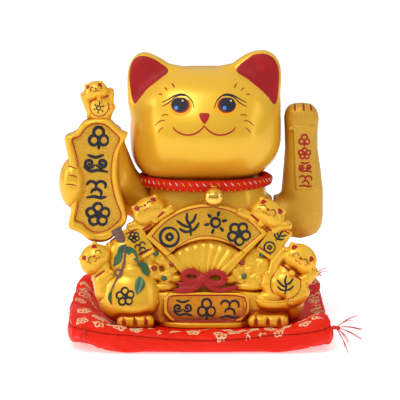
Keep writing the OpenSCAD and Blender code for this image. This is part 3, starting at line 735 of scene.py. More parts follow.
def board_cut(p):
    """The board's own block, less its left edge, which the fist closes over."""
    u, v, w = BOARD_FACE.local(p)
    f = pressed(smooth2(u, v, BOARD_OUT, 110) + 1.0, w, -22, 40, 2)
    return np.where((p[0] < -113) & (p[2] < 182) & (p[2] > 126), 9.0, f)


board = cast("scroll_board", (-140, 90, -26), (-70, 222, 3), 1.0, board_shape, axes=BOARD_FACE)
second_material(board, GOLD_STIPPLE, lambda q: (smooth2(q[0], q[2], BOARD_IN, 110) < -0.4) & (q[1] < -56))
still_arm = cast("raised_arm", (-146, -72, 96), (-36, 26, 212), 1.7,
                 lambda p: smax(still_arm_shape(p), -board_cut(p), 1.5))


# ---------- waving arm ----------

ARM = [(90.5, 96, 3, 3), (92.2, 96.5, 10, 9), (96, 97.4, 15.6, 15), (102, 98, 18.8, 18.6), (112, 98.3, 20, 20.4),
       (124, 98.3, 20.2, 20.6), (140, 97.6, 20.6, 19.8), (160, 97.2, 18.6, 17.8), (180, 96.4, 16.3, 16.2),
       (198, 96.1, 16.4, 15.6), (211, 96.3, 17.4, 15.6), (218, 96.0, 15.8, 14.2), (223.0, 95.9, 12.6, 11.0),
       (225.4, 95.9, 8, 7), (226.2, 95.9, 3, 3)]
ARM_TABLE = np.array(ARM)


def arm_at(z):
    return [np.interp(z, ARM_TABLE[:, 0], ARM_TABLE[:, i]) for i in (1, 2, 3)]


def waving_arm_shape(p):
    x, y, z = p
    c, w, d = arm_at(z)
    r = ellipse_norm((x - c) / w, y / d, 2.3)
    f = (r - 1) * np.minimum(length(x - c, y) / (r + 1e-6), 20)
    f = smax(smax(f, z - 226.2, 5), 90.5 - z, 5)
    f = smin(f, limb(p, (66, 0, 112), (92, 0, 113), 21.0, 21.6), 7)
    for x0 in (89.2, 97.8, 105.2):
        f = smax(f, 1.5 - limb(p, (x0, -16.8, 229), (x0, -17.4, 207), 1.0, 0.2), 1.6)
    label = polygon2(x, z, [(87.6, 201), (108.0, 201), (109.0, 146), (110.6, 141.6), (90.4, 141.6), (90.2, 146)])
    front = -y - (d + 1.1)
    f = smin(f, np.where(y < -4, smax(label, front, 0.5), 9.0), 0.8)
    rod = limb(p, (85.2, -15.2, 202.4), (109.0, -15.2, 202.8), 1.7, 1.7)
    f = join(0.7, f, rod, egg(p, (84.6, -14.6, 201.6), (2.1, 2.3, 2.2)),
             egg(p, (109.6, -14.4, 202.2), (2.1, 2.3, 2.2)))
    return smax(f, 69.0 - x, 1.2)


arm_front = cast("arm_front_shell", (68, -26, 88), (121, 1.5, 229), 1.0,
                 lambda p: smax(waving_arm_shape(p), p[1] + 0.02, 0.5), body="waving_arm", slot="flocked_gold",
                 material=SAND)
cast("arm_rear_shell", (68, -1.5, 88), (121, 26, 229), 1.2,
                lambda p: smax(waving_arm_shape(p), 0.08 - p[1], 0.5), body="waving_arm", slot="flocked_gold",
                material=SAND)
arm_tree = surface(arm_front)
claws = Decal(arm_tree)
for x0 in (89.3, 97.9, 105.2):
    claws.stroke([(x0 - 0.1, 225.2), (x0, 222.5), (x0 + 0.3, 219.4)], 2.6, 0.3, taper=0.75)
claws.piece("arm_claw_lines", RED_LINE, "red_glaze", body="waving_arm")


# ---------- plain ornaments that stand in for writing, in a unit square ----------


def loop(u, v, ru, rv=None, start=0, end=360, count=10):
    rv = ru if rv is None else rv
    return [(u + ru * math.cos(math.radians(a)), v + rv * math.sin(math.radians(a)))
            for a in np.linspace(start, end, count)]


def spiral(u, v, r, turns, start=0, side=1, count=14):
    return [(u + side * r * (1 - 0.85 * t) * math.cos(math.radians(start + 360 * turns * t)),
             v + r * (1 - 0.85 * t) * math.sin(math.radians(start + 360 * turns * t)))
             for t in np.linspace(0, 1, count)]


MOTIFS = {
    "bloom": [loop(0.27 * math.cos(a), 0.27 * math.sin(a), 0.17, count=9)
              for a in np.radians([90, 162, 234, 306, 18])]
             + [[(0.0, -0.06), (0.0, 0.06)]],
    "cloud": [spiral(-0.24, 0.04, 0.22, 1.4, 200, -1), spiral(0.24, 0.04, 0.22, 1.4, 200),
              [(-0.46, -0.12), (-0.2, -0.30), (0.1, -0.26), (0.46, -0.34)],
              [(-0.3, 0.40), (0.0, 0.30), (0.3, 0.40)]],
    "wave": [loop(-0.22, 0.16, 0.22, 0.22, 170, -30, 9), loop(0.22, 0.16, 0.22, 0.22, 170, -30, 9),
             loop(0.0, -0.22, 0.24, 0.22, 170, -30, 9),
             [(-0.44, -0.42), (-0.1, -0.36), (0.2, -0.44), (0.44, -0.38)]],
    "leaf": [[(-0.02, -0.46), (0.04, -0.1), (-0.02, 0.2), (0.06, 0.46)],
             [(-0.02, -0.12), (-0.22, 0.02), (-0.42, 0.26)],
             [(0.03, 0.0), (0.24, 0.10), (0.40, 0.32)], [(0.0, -0.28), (0.2, -0.24), (0.42, -0.06)],
             [(-0.03, -0.30), (-0.24, -0.24), (-0.40, -0.08)]],
    "knot": [loop(0, 0.22, 0.2, 0.2, -90, 270, 11), loop(-0.2, -0.12, 0.18, 0.2, 0, 360, 11),
             loop(0.2, -0.12, 0.18, 0.2, 0, 360, 11),
             [(0.0, -0.28), (0.0, -0.48)]],
    "coin": [loop(0, 0, 0.44, count=17), [(-0.13, 0.13), (0.13, 0.13)], [(0.13, 0.13), (0.13, -0.13)],
             [(0.13, -0.13), (-0.13, -0.13)], [(-0.13, -0.13), (-0.13, 0.13)]],
    "sun": [loop(0, 0, 0.18, count=11)] + [[(0.28 * math.cos(a), 0.28 * math.sin(a)),
                                            (0.46 * math.cos(a), 0.46 * math.sin(a))]
                                          for a in np.radians(range(20, 380, 60))],
}


def motif(decal, kind, u, v, size, width, height, turn=0.0, squeeze=1.0):
    c, s = math.cos(math.radians(turn)), math.sin(math.radians(turn))
    for line in MOTIFS[kind]:
        pts = [(a * size, b * size * squeeze) for a, b in line]
        decal.stroke([(u + a * c - b * s, v + a * s + b * c) for a, b in pts], width, height, taper=0.6)


marks = Decal(arm_tree)
for kind, u, v in (("knot", 98.6, 190.6), ("bloom", 99.0, 177.2), ("cloud", 99.5, 163.6), ("wave", 99.9, 150.4)):
    motif(marks, kind, u, v, 14.0, 2.2, 0.5, squeeze=0.92)
marks.piece("arm_label_ornaments", RED_LINE, "red_glaze", body="waving_arm")

board_tree = surface(made["scroll_board"])
marks = Decal(board_tree)
for kind, u, v, size, squeeze in (("knot", -102.4, 198.4, 24, 0.98), ("cloud", -105.6, 172.2, 25, 0.9),
                                  ("wave", -105.2, 147.8, 21, 0.95),
                                  ("bloom", -103.6, 122.6, 26, 0.98)):
    motif(marks, kind, u, v, size, 3.4, 1.1, squeeze=squeeze)
marks.piece("board_ornaments", INK, "ink_glaze")
border = Decal(board_tree)
inner = curve(BOARD_IN, 150, closed=True)
edges = [0, 11, 56, 75, 118, 150]
for a, b in zip(edges[:-1], edges[1:]):
    border.stroke(inner[a:b + 1] if b < 150 else np.vstack([inner[a:], inner[:1]]), 1.15, 0.35, taper=0.8,
                  count=b - a + 2)
border.piece("board_border_line", RED_LINE, "red_glaze")
claws = Decal(surface(still_arm))
for line in ([(-132.5, 170.3), (-128.1, 170.0), (-123.8, 168.4)],
             [(-131.5, 162.6), (-127.1, 162.2), (-122.8, 160.2)],
             [(-134.4, 153.6), (-129.4, 153.8), (-123.8, 152.4)]):
    claws.stroke(line, 1.4, 0.3, taper=0.3)
claws.piece("fist_claw_lines", RED_LINE, "red_glaze")


# ---------- collar and bell ----------

ROPE = (62.3, 51.5, 149.5, 4.05)


def rope_point(a, around, out):
    """a is the angle along the collar; around and out place a yarn in its cross-section."""
    c, s = math.cos(a), math.sin(a)
    n = np.array([c / ROPE[0], s / ROPE[1], 0])
    n /= np.linalg.norm(n)
    centre = np.array([ROPE[0] * c, ROPE[1] * s, ROPE[2]])
    return centre + out * (math.cos(around) * n + math.sin(around) * np.array([0, 0, 1.0]))


def tube(path, radius, sides=6, closed=False, squash=1.0, taper=None):
    """Points and faces of a round tube along a path."""
    path = np.array(path, float)
    t = (np.roll(path, -1, 0) - np.roll(path, 1, 0)) if closed else np.gradient(path, axis=0)
    t /= np.linalg.norm(t, axis=1)[:, None] + 1e-9
    ref = np.array([0.13, 0.21, 0.97]) if abs(t[:, 2]).mean() < 0.7 else np.array([0.97, 0.13, 0.21])
    side = np.cross(t, ref)
    side /= np.linalg.norm(side, axis=1)[:, None]
    up = np.cross(t, side)
    n = len(path)
    scale = np.ones(n) if taper is None else np.array(taper)
    points = [path[i] + radius * scale[i] * (math.cos(b) * side[i] + squash * math.sin(b) * up[i])
              for i in range(n) for b in np.linspace(0, 2 * np.pi, sides, endpoint=False)]
    faces = [(i * sides + j, i * sides + (j + 1) % sides, ((i + 1) % n) * sides + (j + 1) % sides,
              ((i + 1) % n) * sides + j)
             for i in range(n if closed else n - 1) for j in range(sides)]
    if not closed:
        faces += [tuple(range(sides))[::-1], tuple((n - 1) * sides + j for j in range(sides))]
    return points, faces


def gather(parts):
    """Several (points, faces) as one."""
    points, faces = [], []
    for p, f in parts:
        faces += [[i + len(points) for i in face] for face in f]
        points += list(p)
    return points, faces


yarns = []
laps, strands, steps = 22, 8, 620
for way in (1, -1):
    for k in range(strands):
        path = []
        for i in range(steps):
            s = i / steps
            around = 2 * math.pi * (way * laps * s + k / strands)
            weave = 0.42 * math.cos(2 * math.pi * (strands * laps * s + k * way) + (0 if way > 0 else math.pi))
            path.append(rope_point(2 * math.pi * s, around, ROPE[3] + weave))
        yarns.append(tube(path, 1.28, 5, closed=True))
points, faces = gather(yarns)
make_mesh("collar_rope", points, faces, ROOT, "red_rope", ROPE_RED, replaces=("collar_rope",))
core = tube([rope_point(2 * math.pi * i / 160, 0, 0) for i in range(160)], 4.3, 10, closed=True)
make_mesh("collar_rope_core", *core, ROOT, "red_rope", ROPE_RED)

flecks = {"rope_white_flecks": [], "rope_yellow_flecks": []}
pitch = 5.9 / 57
count = int(2 * math.pi / pitch)
for i in range(count):
    a = 2 * math.pi * i / count
    kind = "rope_white_flecks" if i % 4 < 2 else "rope_yellow_flecks"
    path = [rope_point(a + 0.022 * t, 0.36 - 0.30 * t, ROPE[3] + 1.75 - 0.18 * t * t)
            for t in np.linspace(-1, 1, 5)]
    flecks[kind].append(tube(path, 0.62, 5, squash=0.7, taper=[0.5, 1, 1, 1, 0.5]))
    path = [rope_point(a + 0.05 + 0.012 * t, -0.72 - 0.14 * t, ROPE[3] + 1.65) for t in np.linspace(-1, 1, 3)]
    flecks["rope_yellow_flecks"].append(tube(path, 0.42, 5, taper=[0.5, 1, 0.5]))
for name, colour in (("rope_white_flecks", (0.78, 0.78, 0.80)), ("rope_yellow_flecks", (0.80, 0.56, 0.03))):
    make_mesh(name, *gather(flecks[name]), ROOT, "red_rope", thread_of(name, colour))

BELL_TILT = math.radians(38)
BELL = Axes((9, -60, 150), (1, 0, 0), (0, math.cos(BELL_TILT), -math.sin(BELL_TILT)))


def bell_shape(p):
    x, y, z = p[0], p[1], p[2] + 11.5
    r = length(x, y, z)
    f = np.abs(r - 9.65) - 0.35
    flange = length(length(x, y) - 9.95, z) - 0.42
    f = smin(f, flange, 0.3)
    slit = np.maximum(np.maximum(np.abs(y) - 0.8, z), np.abs(x) - 9.0)
    holes = length(y, z) - 1.9
    f = smax(f, -np.minimum(slit, holes), 0.25)
    eye = length(length(y, z - 11.5) - 1.25, x) - 0.55
    return np.minimum(f, eye)


cast("bell_shells", (-11, -11, -22.5), (11, 11, 2.2), 0.32, bell_shape, axes=BELL, body="bell", slot="gilt_brass",
     material=GILT, shade=False)


# ---------- relief luted to the belly ----------


def arc(a, b, c, count=24):
    """Points on the circle through a, b and c, from a to c."""
    (ax, ay), (bx, by), (cx, cy) = a, b, c
    d = 2 * (ax * (by - cy) + bx * (cy - ay) + cx * (ay - by))
    ux = ((ax * ax + ay * ay) * (by - cy) + (bx * bx + by * by) * (cy - ay) + (cx * cx + cy * cy) * (ay - by)) / d
    uy = ((ax * ax + ay * ay) * (cx - bx) + (bx * bx + by * by) * (ax - cx) + (cx * cx + cy * cy) * (bx - ax)) / d
    r = math.hypot(ax - ux, ay - uy)
    t = [math.atan2(y - uy, x - ux) for x, y in (a, b, c)]
    for i in (1, 2):
        t[i] -= 2 * math.pi * round((t[i] - t[i - 1]) / (2 * math.pi))
    return [(ux + r * math.cos(s), uy + r * math.sin(s)) for s in np.linspace(t[0], t[2], count)]


def belly_box(points, low_w, high_w, pad=6.0):
    pts = np.array(points)
    return (*(pts.min(0) - pad), low_w), (*(pts.max(0) + pad), high_w)


FAN_OUT = arc((-57.0, 84.8), (0.0, 117.0), (61.3, 88.7), 34) + arc((40.4, 68.2), (1.2, 83.1), (-36.5, 65.5), 24)
FAN_TOP = arc((-51.1, 85.4), (2.4, 114.0), (55.0, 88.5), 34)
FAN_LOW = arc((34.9, 71.1), (1.7, 85.9), (-31.6, 69.0), 24)
FAN_IN = FAN_TOP + FAN_LOW


def fan_shape(p):
    u, v, w = p
    body = pressed(polygon2(u, v, FAN_OUT), w, -14, 11.5, 1.8)
    inner = polygon2(u, v, FAN_IN)
    rim = 0.5 * np.exp(-((inner - 2.4) / 1.6) ** 2) * (w > 5)
    return smax(body - rim, -pressed(inner - 0.2, w, 10.0, 30, 0.6), 0.5)


fan = cast("fan_panel", *belly_box(FAN_OUT, -15, 14), 0.8, fan_shape, axes=BELLY)
second_material(fan, GOLD_STIPPLE, lambda q: polygon2(*BELLY.local(q)[:2], FAN_IN) < 0.1)

PLEAT_FIELD = [(-33.6, 66.3), (-27.7, 72.1), (-14.1, 79.9), (1.5, 84.3), (17.0, 80.9), (30.7, 73.6), (37.5, 68.7),
               (19.0, 50.2), (-0.5, 44.4), (-19.9, 50.2)]
STICKS = ([(-38.9, 67.8), (-31.1, 68.7), (-13.6, 51.7), (-19.9, 46.8)],
          [(42.8, 70.7), (35.0, 71.7), (14.6, 52.2), (20.9, 46.3)])
PLEAT_EYE = (0.0, 36.6)


def pleats_shape(p):
    u, v, w = p
    a = np.arctan2(u - PLEAT_EYE[0], v - PLEAT_EYE[1])
    r = length(u - PLEAT_EYE[0], v - PLEAT_EYE[1])
    edge = polygon2(u, v, PLEAT_FIELD)
    fold = np.abs(np.cos(a * math.pi / math.radians(12.5))) ** 0.8
    rise = np.clip((48 - r) / 26, 0, 1)
    start = np.clip((45.5 - 1.5 * np.abs(np.sin(a * 5)) - r) / 6, 0, 1)
    top = 5.6 + 3.4 * rise + start * (1.9 - 0.5 * rise) * fold
    top = np.maximum(top, 9.6 - 0.11 * r)
    f = smax(edge, w - top, 0.8)
    for bar in STICKS:
        f = smin(f, pressed(polygon2(u, v, bar), w, -14, 10.0, 1.6), 0.8)
    return smax(f, -14 - w, 0.5)


cast("fan_pleats", *belly_box(PLEAT_FIELD + list(STICKS[0]) + list(STICKS[1]), -15, 12.5), 0.7, pleats_shape,
     axes=BELLY)

BOW_LEFT = [(-2.4, 45.8), (-8.3, 50.4), (-14.1, 51.6), (-19.1, 49.6), (-20.2, 45.4), (-16.7, 41.8), (-10.2, 41.7),
            (-2.4, 43.4)]
BOW_RIGHT = [(0.5, 45.4), (4.9, 49.3), (10.7, 50.5), (16.6, 48.9), (19.4, 44.8), (17.4, 40.8), (11.7, 39.2),
             (4.4, 41.2), (0.5, 43.4)]
TAIL_LEFT = [(-2.4, 41.5), (-8.3, 36.1), (-17.0, 33.4), (-26.2, 33.3)]
TAIL_RIGHT = [(0.5, 41.5), (5.8, 36.1), (13.1, 33.1), (21.4, 33.9), (31.1, 36.1)]


BOW_CREASES = (((-12.1, 38.1, 13.4), (-23.8, 35.6, 12.6), 0.5), ((-5.3, 44.4, 14.8), (-8.3, 46.8, 14.2), 0.6),
               ((3.4, 43.9, 14.8), (6.8, 45.8, 14.2), 0.6), ((8.3, 35.2, 13.4), (20.9, 36.0, 12.4), 0.5))


def at_height(path, heights):
    return [(u, v, w) for (u, v), w in zip(path, heights)]


def flat_limbs(p, points, radii, flat=0.62, k=0.6):
    """A ribbon: limbs squashed towards the surface they lie on."""
    q = [p[0], p[1], p[2] / flat]
    return limbs(q, [(u, v, w / flat) for u, v, w in points], radii, k) * flat


def bow_shape(p):
    f = flat_limbs(p, at_height(curve(BOW_LEFT, 14), 11.4 + 1.2 * np.sin(np.linspace(0, np.pi, 14))), [3.0] * 14)
    g = flat_limbs(p, at_height(curve(BOW_RIGHT, 16), 11.4 + 1.2 * np.sin(np.linspace(0, np.pi, 16))), [3.1] * 16)
    f = join(0.9, f, g, egg(p, (-1.0, 44.4, 12.2), (4.6, 5.0, 3.4)))
    left = flat_limbs(p, at_height(curve(TAIL_LEFT, 9), np.linspace(11.6, 10.4, 9)), np.linspace(3.0, 3.9, 9))
    right = flat_limbs(p, at_height(curve(TAIL_RIGHT, 11), np.linspace(11.6, 10.6, 11)), np.linspace(3.0, 2.2, 11))
    notch = length(np.maximum(p[0] + 25.7, 0), p[1] - 36.3) - 1.1
    f = join(0.9, f, smax(left, -notch, 0.6), right)
    f = smin(f, flat_limbs(p, at_height([(-15.1, 38.6), (-21.9, 38.9), (-27.2, 40.9)], (11.4, 10.8, 10.4)),
                           [2.6, 2.4, 0.9]), 0.8)
    crease = np.minimum.reduce([limb(p, a, b, r, 0.2) for a, b, r in BOW_CREASES])
    return smax(f, -crease, 0.9)


cast("ribbon_bow", *belly_box(BOW_LEFT + BOW_RIGHT + TAIL_LEFT + TAIL_RIGHT, 7.0, 16.5, 4), 0.6, bow_shape,
     axes=BELLY,
     slot="red_glaze", material=RIBBON)

# The basin block with its name plate.
BASIN = arc((-51.0, 30.8), (1.5, 34.7), (55.8, 30.8), 20) + [(57.8, 21.1), (55.8, 9.4), (49.9, 2.2), (30.5, -3.2),
                                                             (1.5, -4.6), (-27.6, -3.2), (-47.0, 2.2),
                                                             (-52.9, 10.4), (-54.8, 21.1)]
PLATE_OUT = [(-39.8, 25.0), (-34.0, 30.8), (1.5, 31.6), (35.0, 30.8), (43.2, 26.4), (43.8, 10.9), (35.9, 2.2),
             (22.8, -0.3), (-23.8, -0.3), (-32.5, 3.1), (-39.5, 10.9)]
PLATE_IN = [(-35.4, 23.0), (-30.8, 27.7), (1.5, 28.3), (32.3, 27.7), (39.7, 24.0), (40.1, 12.3), (32.7, 5.7),
            (20.4, 3.2), (-21.8, 3.4), (-29.6, 5.9), (-35.4, 12.8)]


def basin_shape(p):
    u, v, w = p
    block = pressed(smooth2(u, v, BASIN, 70), w, -16, 7.2, 3.5)
    plate = pressed(polygon2(u, v, PLATE_OUT), w, -4, 11.8, 1.8)
    f = smin(block, plate, 2.0)
    f = smax(f, -pressed(polygon2(u, v, PLATE_IN) - 0.4, w, 10.2, 30, 0.6), 0.5)
    return smax(f, 17.6 - BELLY.world(np.stack([u, v, w], -1))[..., 2], 1.0)


basin = cast("base_plaque", *belly_box(BASIN, -17, 14, 4), 0.8, basin_shape, axes=BELLY)
second_material(basin, GOLD_EMBER, lambda q: polygon2(*BELLY.local(q)[:2], PLATE_IN) < 0.2)


def plinth_shape(p):
    x, y, z = p
    r = ellipse_norm((x - 2) / 60, (y + 20) / 73, 3.0)
    edge = (r - 1) * np.minimum(length(x - 2, y + 20) / (r + 1e-6), 75)
    d = np.abs(z - 19.3) - 2.9 + 1.8
    g = edge + 1.8
    f = length(np.maximum(g, 0), np.maximum(d, 0)) + np.minimum(np.maximum(g, d), 0) - 1.8
    return smax(f, p[1] + 60, 2)


cast("base_plinth", (-66, -98, 15), (70, -56, 25), 1.0, plinth_shape)


def foot_shape(p, middle, half, grooves):
    f = slab(p, (middle, -82, 23.2), (half, 14.5, 6.6), 6.2)
    f = smin(f, limb(p, (middle - half + 8, -76, 25.5), (middle + half - 8, -76, 25.5), 7, 7), 3)
    for x in grooves:
        f = smax(f, 1.3 - length(p[0] - x, np.maximum(p[1] + 96, 0)), 1.6)
    return smax(f, 17.4 - p[2], 1)


TOES = ((-77.5, -66.8, -56.2), (49.6, 61.0, 72.0))
cast("left_foot", (-88, -102, 15), (-42, -62, 34), 0.8, lambda p: foot_shape(p, -66.5, 18.0, TOES[0]))
cast("right_foot", (38, -102, 15), (85, -62, 34), 0.8, lambda p: foot_shape(p, 61.5, 19.5, TOES[1]))


def sack_shape(p):
    body = egg(p, (-73.0, -66, 45.0), (31.5, 23.0, 27.0))
    body = smin(body, egg(p, (-72, -71, 36), (27, 22, 18)), 8)
    f = smin(body, egg(p, (-78, -56, 78), (21, 19, 25)), 7)
    f = join(4.5, f, egg(p, (-71, -71, 83.5), (8, 6, 6.5)), egg(p, (-70.5, -75, 70), (9.5, 6, 6.0)))
    return smax(f, 17.6 - p[2], 2)


cast("lucky_sack", (-110, -96, 15), (-36, -36, 106), 1.2, sack_shape)

LEFT_LOBES = [(-58.8, 63.4, 9.0, 8.2, 7), (-41.8, 64.8, 9.0, 8.6, 8), (-51.0, 50.7, 8.6, 9.4, 8),
              (-31.1, 55.1, 8.4, 6.6, 8),
              (-37.4, 46.3, 9.6, 7, 8), (-25.8, 44.4, 7.4, 5, 7.5), (-40.3, 36.6, 14.6, 4.6, 8),
              (-52.7, 31.7, 7.4, 7.0, 12), (-49.6, 22.0, 7.6, 6.8, 11),
              (-66.6, 50.2, 8.0, 9.0, 6), (-68.6, 61.9, 6.5, 7.0, 5),
              (-50.1, 70.2, 13, 7, 6.5), (-32.6, 61.9, 10, 9, 6.5)]
RIGHT_LOBES = [(44.7, 63.6, 8.6, 8.2, 8), (55.9, 56.6, 9.8, 10.4, 9), (41.8, 53.6, 7.6, 6.5, 8),
               (30.6, 52.2, 7.4, 7.6, 8.5),
               (37.9, 43.9, 9.8, 6.6, 8.5), (52.0, 44.4, 9.6, 7.4, 8), (23.8, 43.9, 7.4, 5.4, 7.5),
               (43.2, 36.6, 16.4, 4.4, 8),
               (64.7, 66.8, 6.2, 8.0, 6.0), (50.1, 71.7, 13, 7, 6.5), (32.6, 60.9, 10, 9, 6.5),
               (62.7, 48.3, 8, 10, 6)]
LEFT_CURLS = [(-58.8, 63.4, 4.6, 60, 1), (-41.3, 65.3, 4.6, 120, -1), (-51.0, 50.7, 4.8, 20, 1),
              (-31.1, 55.1, 3.6, 160, -1), (-37.4, 45.8, 4.0, 60, 1),
              (-51.8, 33.2, 4.2, 10, 1)]
RIGHT_CURLS = [(45.0, 63.9, 4.4, 0, 1), (55.4, 56.1, 5.8, 120, 1), (30.6, 52.2, 3.8, 60, -1),
               (40.8, 52.7, 3.4, 60, 1), (38.4, 43.4, 4.0, 180, -1),
               (52.5, 44.4, 4.2, 30, 1)]


def lobes_shape(p, lobes, curls):
    f = join(1.3, *[egg(p, (u, v, 0.25 * h), (a, b, 0.75 * h)) for u, v, a, b, h in lobes])
    for u, v, r, start, side in curls:
        line = spiral(u, v, r, 0.95, start, side, 12)
        flat = np.full(p[0].shape, 50.0)
        near = (np.abs(p[0] - u) < r + 4) & (np.abs(p[1] - v) < r + 4)
        q = [a[near] for a in p]
        best = np.full(q[0].shape, 50.0)
        for a, b in zip(line[:-1], line[1:]):
            best = np.minimum(best, limb([q[0], q[1], 0 * q[0]], (*a, 0), (*b, 0), 0, 0))
        flat[near] = best
        f = f + 0.95 * np.exp(-(flat / 0.95) ** 2)
    return smax(f, -8 - p[2], 1)


for name, lobes, curls in (("left_coins", LEFT_LOBES, LEFT_CURLS), ("right_coins", RIGHT_LOBES, RIGHT_CURLS)):
    cast(name, *belly_box([c[:2] for c in lobes], -9, 13, 17), 0.8, lambda p, a=lobes,
         b=curls: lobes_shape(p, a, b), axes=BELLY)


def ingot_shape(p):
    boat = egg(p, (67.5, 25.0, 3), (19.5, 15.5, 12.0))
    cup = egg(p, (67.5, 34.7, 10), (19.0, 12.5, 14))
    f = smax(boat, -cup, 1.6)
    f = smin(f, egg(p, (63.1, 25.9, 4.5), (13.5, 7.6, 7.2)), 1.2)
    f = smax(f + 0.9 * np.exp(-((length(p[0] - 67.5, (p[1] - 34.7) * 1.52) - 22) / 1.1) ** 2), -8 - p[2], 1)
    return smax(f, 17.6 - BELLY.world(np.stack(p, -1))[..., 2], 1.0)


cast("gold_ingot", *belly_box([(49.0, 31.7), (86.8, 9.4)], -9, 18, 6), 0.8, ingot_shape, axes=BELLY)


LEFT_BANNER = BELLY.moved(-64.4, 80.6, 0, turn=30)
RIGHT_BANNER = BELLY.moved(67.7, 81.2, 0, turn=-35)
for name, axes in (("left_banner", LEFT_BANNER), ("right_banner", RIGHT_BANNER)):
    cast(name, (-13, -20, -10), (13, 20, 11), 0.8,
         lambda p: smax(slab(p, (0, 0, 0), (10.6, 17.2, 9.0), 1.8), -slab(p, (0, 0, 9.4), (8.6, 14.8, 1.1), 0.4),
                        0.4),
         axes=axes)


# ---------- the five kittens ----------

BOARD_TOP = FACE.moved(0, 0, 46)
KITTENS = {
    "upper_left_kitten": dict(
        axes=BELLY, head=(-54.9, 110.7), turn=30, half=(16.2, 13.4, 10.5), w=6.5,
        ears=[(-67.6, 112.9), (-48.9, 122.7)],
        eyes=[(-62.3, 113.3), (-54.1, 118.3)], nose=(-57.8, 115.3),
        limbs=[([(-45.3, 103.9), (-38.5, 108.3), (-32.7, 112.2)], [4.5, 4.4, 4.2], (8, 10, 11)),
               ([(-61.9, 98.0), (-71.6, 95.1)], [5.5, 4.6], (4, 6.5)),
               ([(-60.9, 96.1), (-45.3, 102.9)], [8.5, 7.0], (1, 3.5))],
        balls=[(-47.8, 101.0, 11.4, 3.4)], claws=[(-33.3, 112.1, -20), (-71.4, 95.1, 25)],
        bars=[((-44.9, 104.3), (-39.3, 109.4)), ((-59.9, 92.4), (-51.9, 97.1))]),
    "upper_right_kitten": dict(
        axes=BELLY, head=(61.9, 108.4), turn=-31, half=(17.0, 13.2, 10.5), w=6.5,
        ears=[(56.5, 120.5), (75.1, 109.8)],
        eyes=[(58.2, 114.6), (67.2, 110.0)], nose=(61.6, 111.0),
        limbs=[([(48.2, 103.4), (41.4, 106.3), (34.9, 109.5)], [4.5, 4.5, 4.3], (8, 10, 11)),
               ([(70.6, 95.1), (80.2, 96.5)], [6, 5.2], (5, 7)),
               ([(49.2, 102.9), (68.7, 93.1)], [7.0, 8.0], (3.5, 2))],
        balls=[(54.8, 97.8, 11.4, 3.6)], claws=[(34.8, 109.0, 15), (80.2, 97.4, -30)],
        bars=[((45.2, 106.6), (52.1, 100.8)), ((59.5, 94.7), (64.8, 91.3))]),
    "lower_left_kitten": dict(
        axes=BELLY, head=(-106.7, 64.2), turn=42, half=(15.6, 13.6, 11.0), w=7.0,
        ears=[(-118.2, 64.1), (-107.0, 77.1)],
        eyes=[(-110.7, 64.0), (-104.2, 70.4)], nose=(-106.6, 65.7),
        limbs=[([(-97.7, 60.9), (-95.3, 56.6)], [5.5, 4.6], (7, 8)),
               ([(-99.6, 41.5), (-90.9, 48.3)], [7.0, 5.4], (7, 10)),
               ([(-91.9, 60.9), (-91.7, 76.0)], [6.5, 4.8], (1, 6)),
               ([(-100.6, 51.2), (-94.7, 31.7)], [10, 12], (2, 2))],
        balls=[], claws=[(-91.3, 48.3, -35), (-91.6, 77.1, 0)], bars=[((-105.8, 46.1), (-96.9, 51.7))]),
    "lower_right_kitten": dict(
        axes=BELLY, head=(93.5, 64.2), turn=-35, half=(16.8, 13.8, 11.0), w=7.0, ears=[(86.1, 76.1), (105.1, 62.9)],
        eyes=[(89.7, 67.8), (98.1, 61.6)], nose=(93.1, 63.5),
        limbs=[([(65.6, 49.3), (68.6, 60.0), (77.3, 70.7)], [5.6, 5.2, 5.2], (4, 6, 8.5)),
               ([(89.9, 39.5), (98.6, 44.4), (105.7, 50.8)], [8, 6.4, 5.2], (4, 6, 8)),
               ([(65.5, 29.8), (61.3, 39.5), (61.3, 47.7)], [8, 7.4, 4.8], (2, 4, 6)),
               ([(95.7, 31.7), (84.0, 22.5)], [6.5, 4.8], (6, 9)),
               ([(79.2, 51.2), (86.9, 31.7)], [10, 14], (1, 0))],
        balls=[(84.5, 49.6, 13.4, 3.3)], medal=(78.6, 39.3, 4.0, 15.6, 11.0),
        claws=[(77.3, 70.5, -10), (105.9, 51.6, -30), (61.3, 48.5, 10), (83.2, 21.7, -20)],
        bars=[((75.1, 57.8), (82.5, 52.3)), ((88.0, 47.1), (93.4, 43.2))]),
    "board_kitten": dict(
        axes=BOARD_TOP, head=(-105.4, 243.3), turn=15, half=(11.0, 9.2, 8.5), w=5.0,
        ears=[(-113.5, 247.7), (-100.5, 250.6)],
        eyes=[(-108.3, 246.9), (-100.7, 248.8)], nose=(-104.8, 246.4),
        limbs=[([(-111.1, 226.0), (-116.2, 238.2)], [5, 4.2], (2, 3)),
               ([(-92.6, 227.9), (-91.6, 242.1)], [4.4, 4.0], (1, 2)),
               ([(-101.3, 229.9), (-101.4, 217.2)], [11, 11], (0, 0)),
               ([(-93.6, 224.0), (-89.7, 226.9)], [6, 3.6], (3, 4)),
               ([(-108.2, 220.1), (-110.8, 218.4)], [5, 3.6], (3, 5))],
        balls=[(-101.5, 236.0, 12.0, 2.0)], medal=(-101.7, 228.2, 3.0, 9.8, 9.6),
        claws=[(-116.1, 239.2, 25), (-91.3, 243.1, -20), (-89.6, 227.8, -70), (-111.0, 218.6, 60)],
        bars=[((-110.6, 232.8), (-104.8, 236.0)), ((-98.0, 236.5), (-92.5, 238.4))]),
}


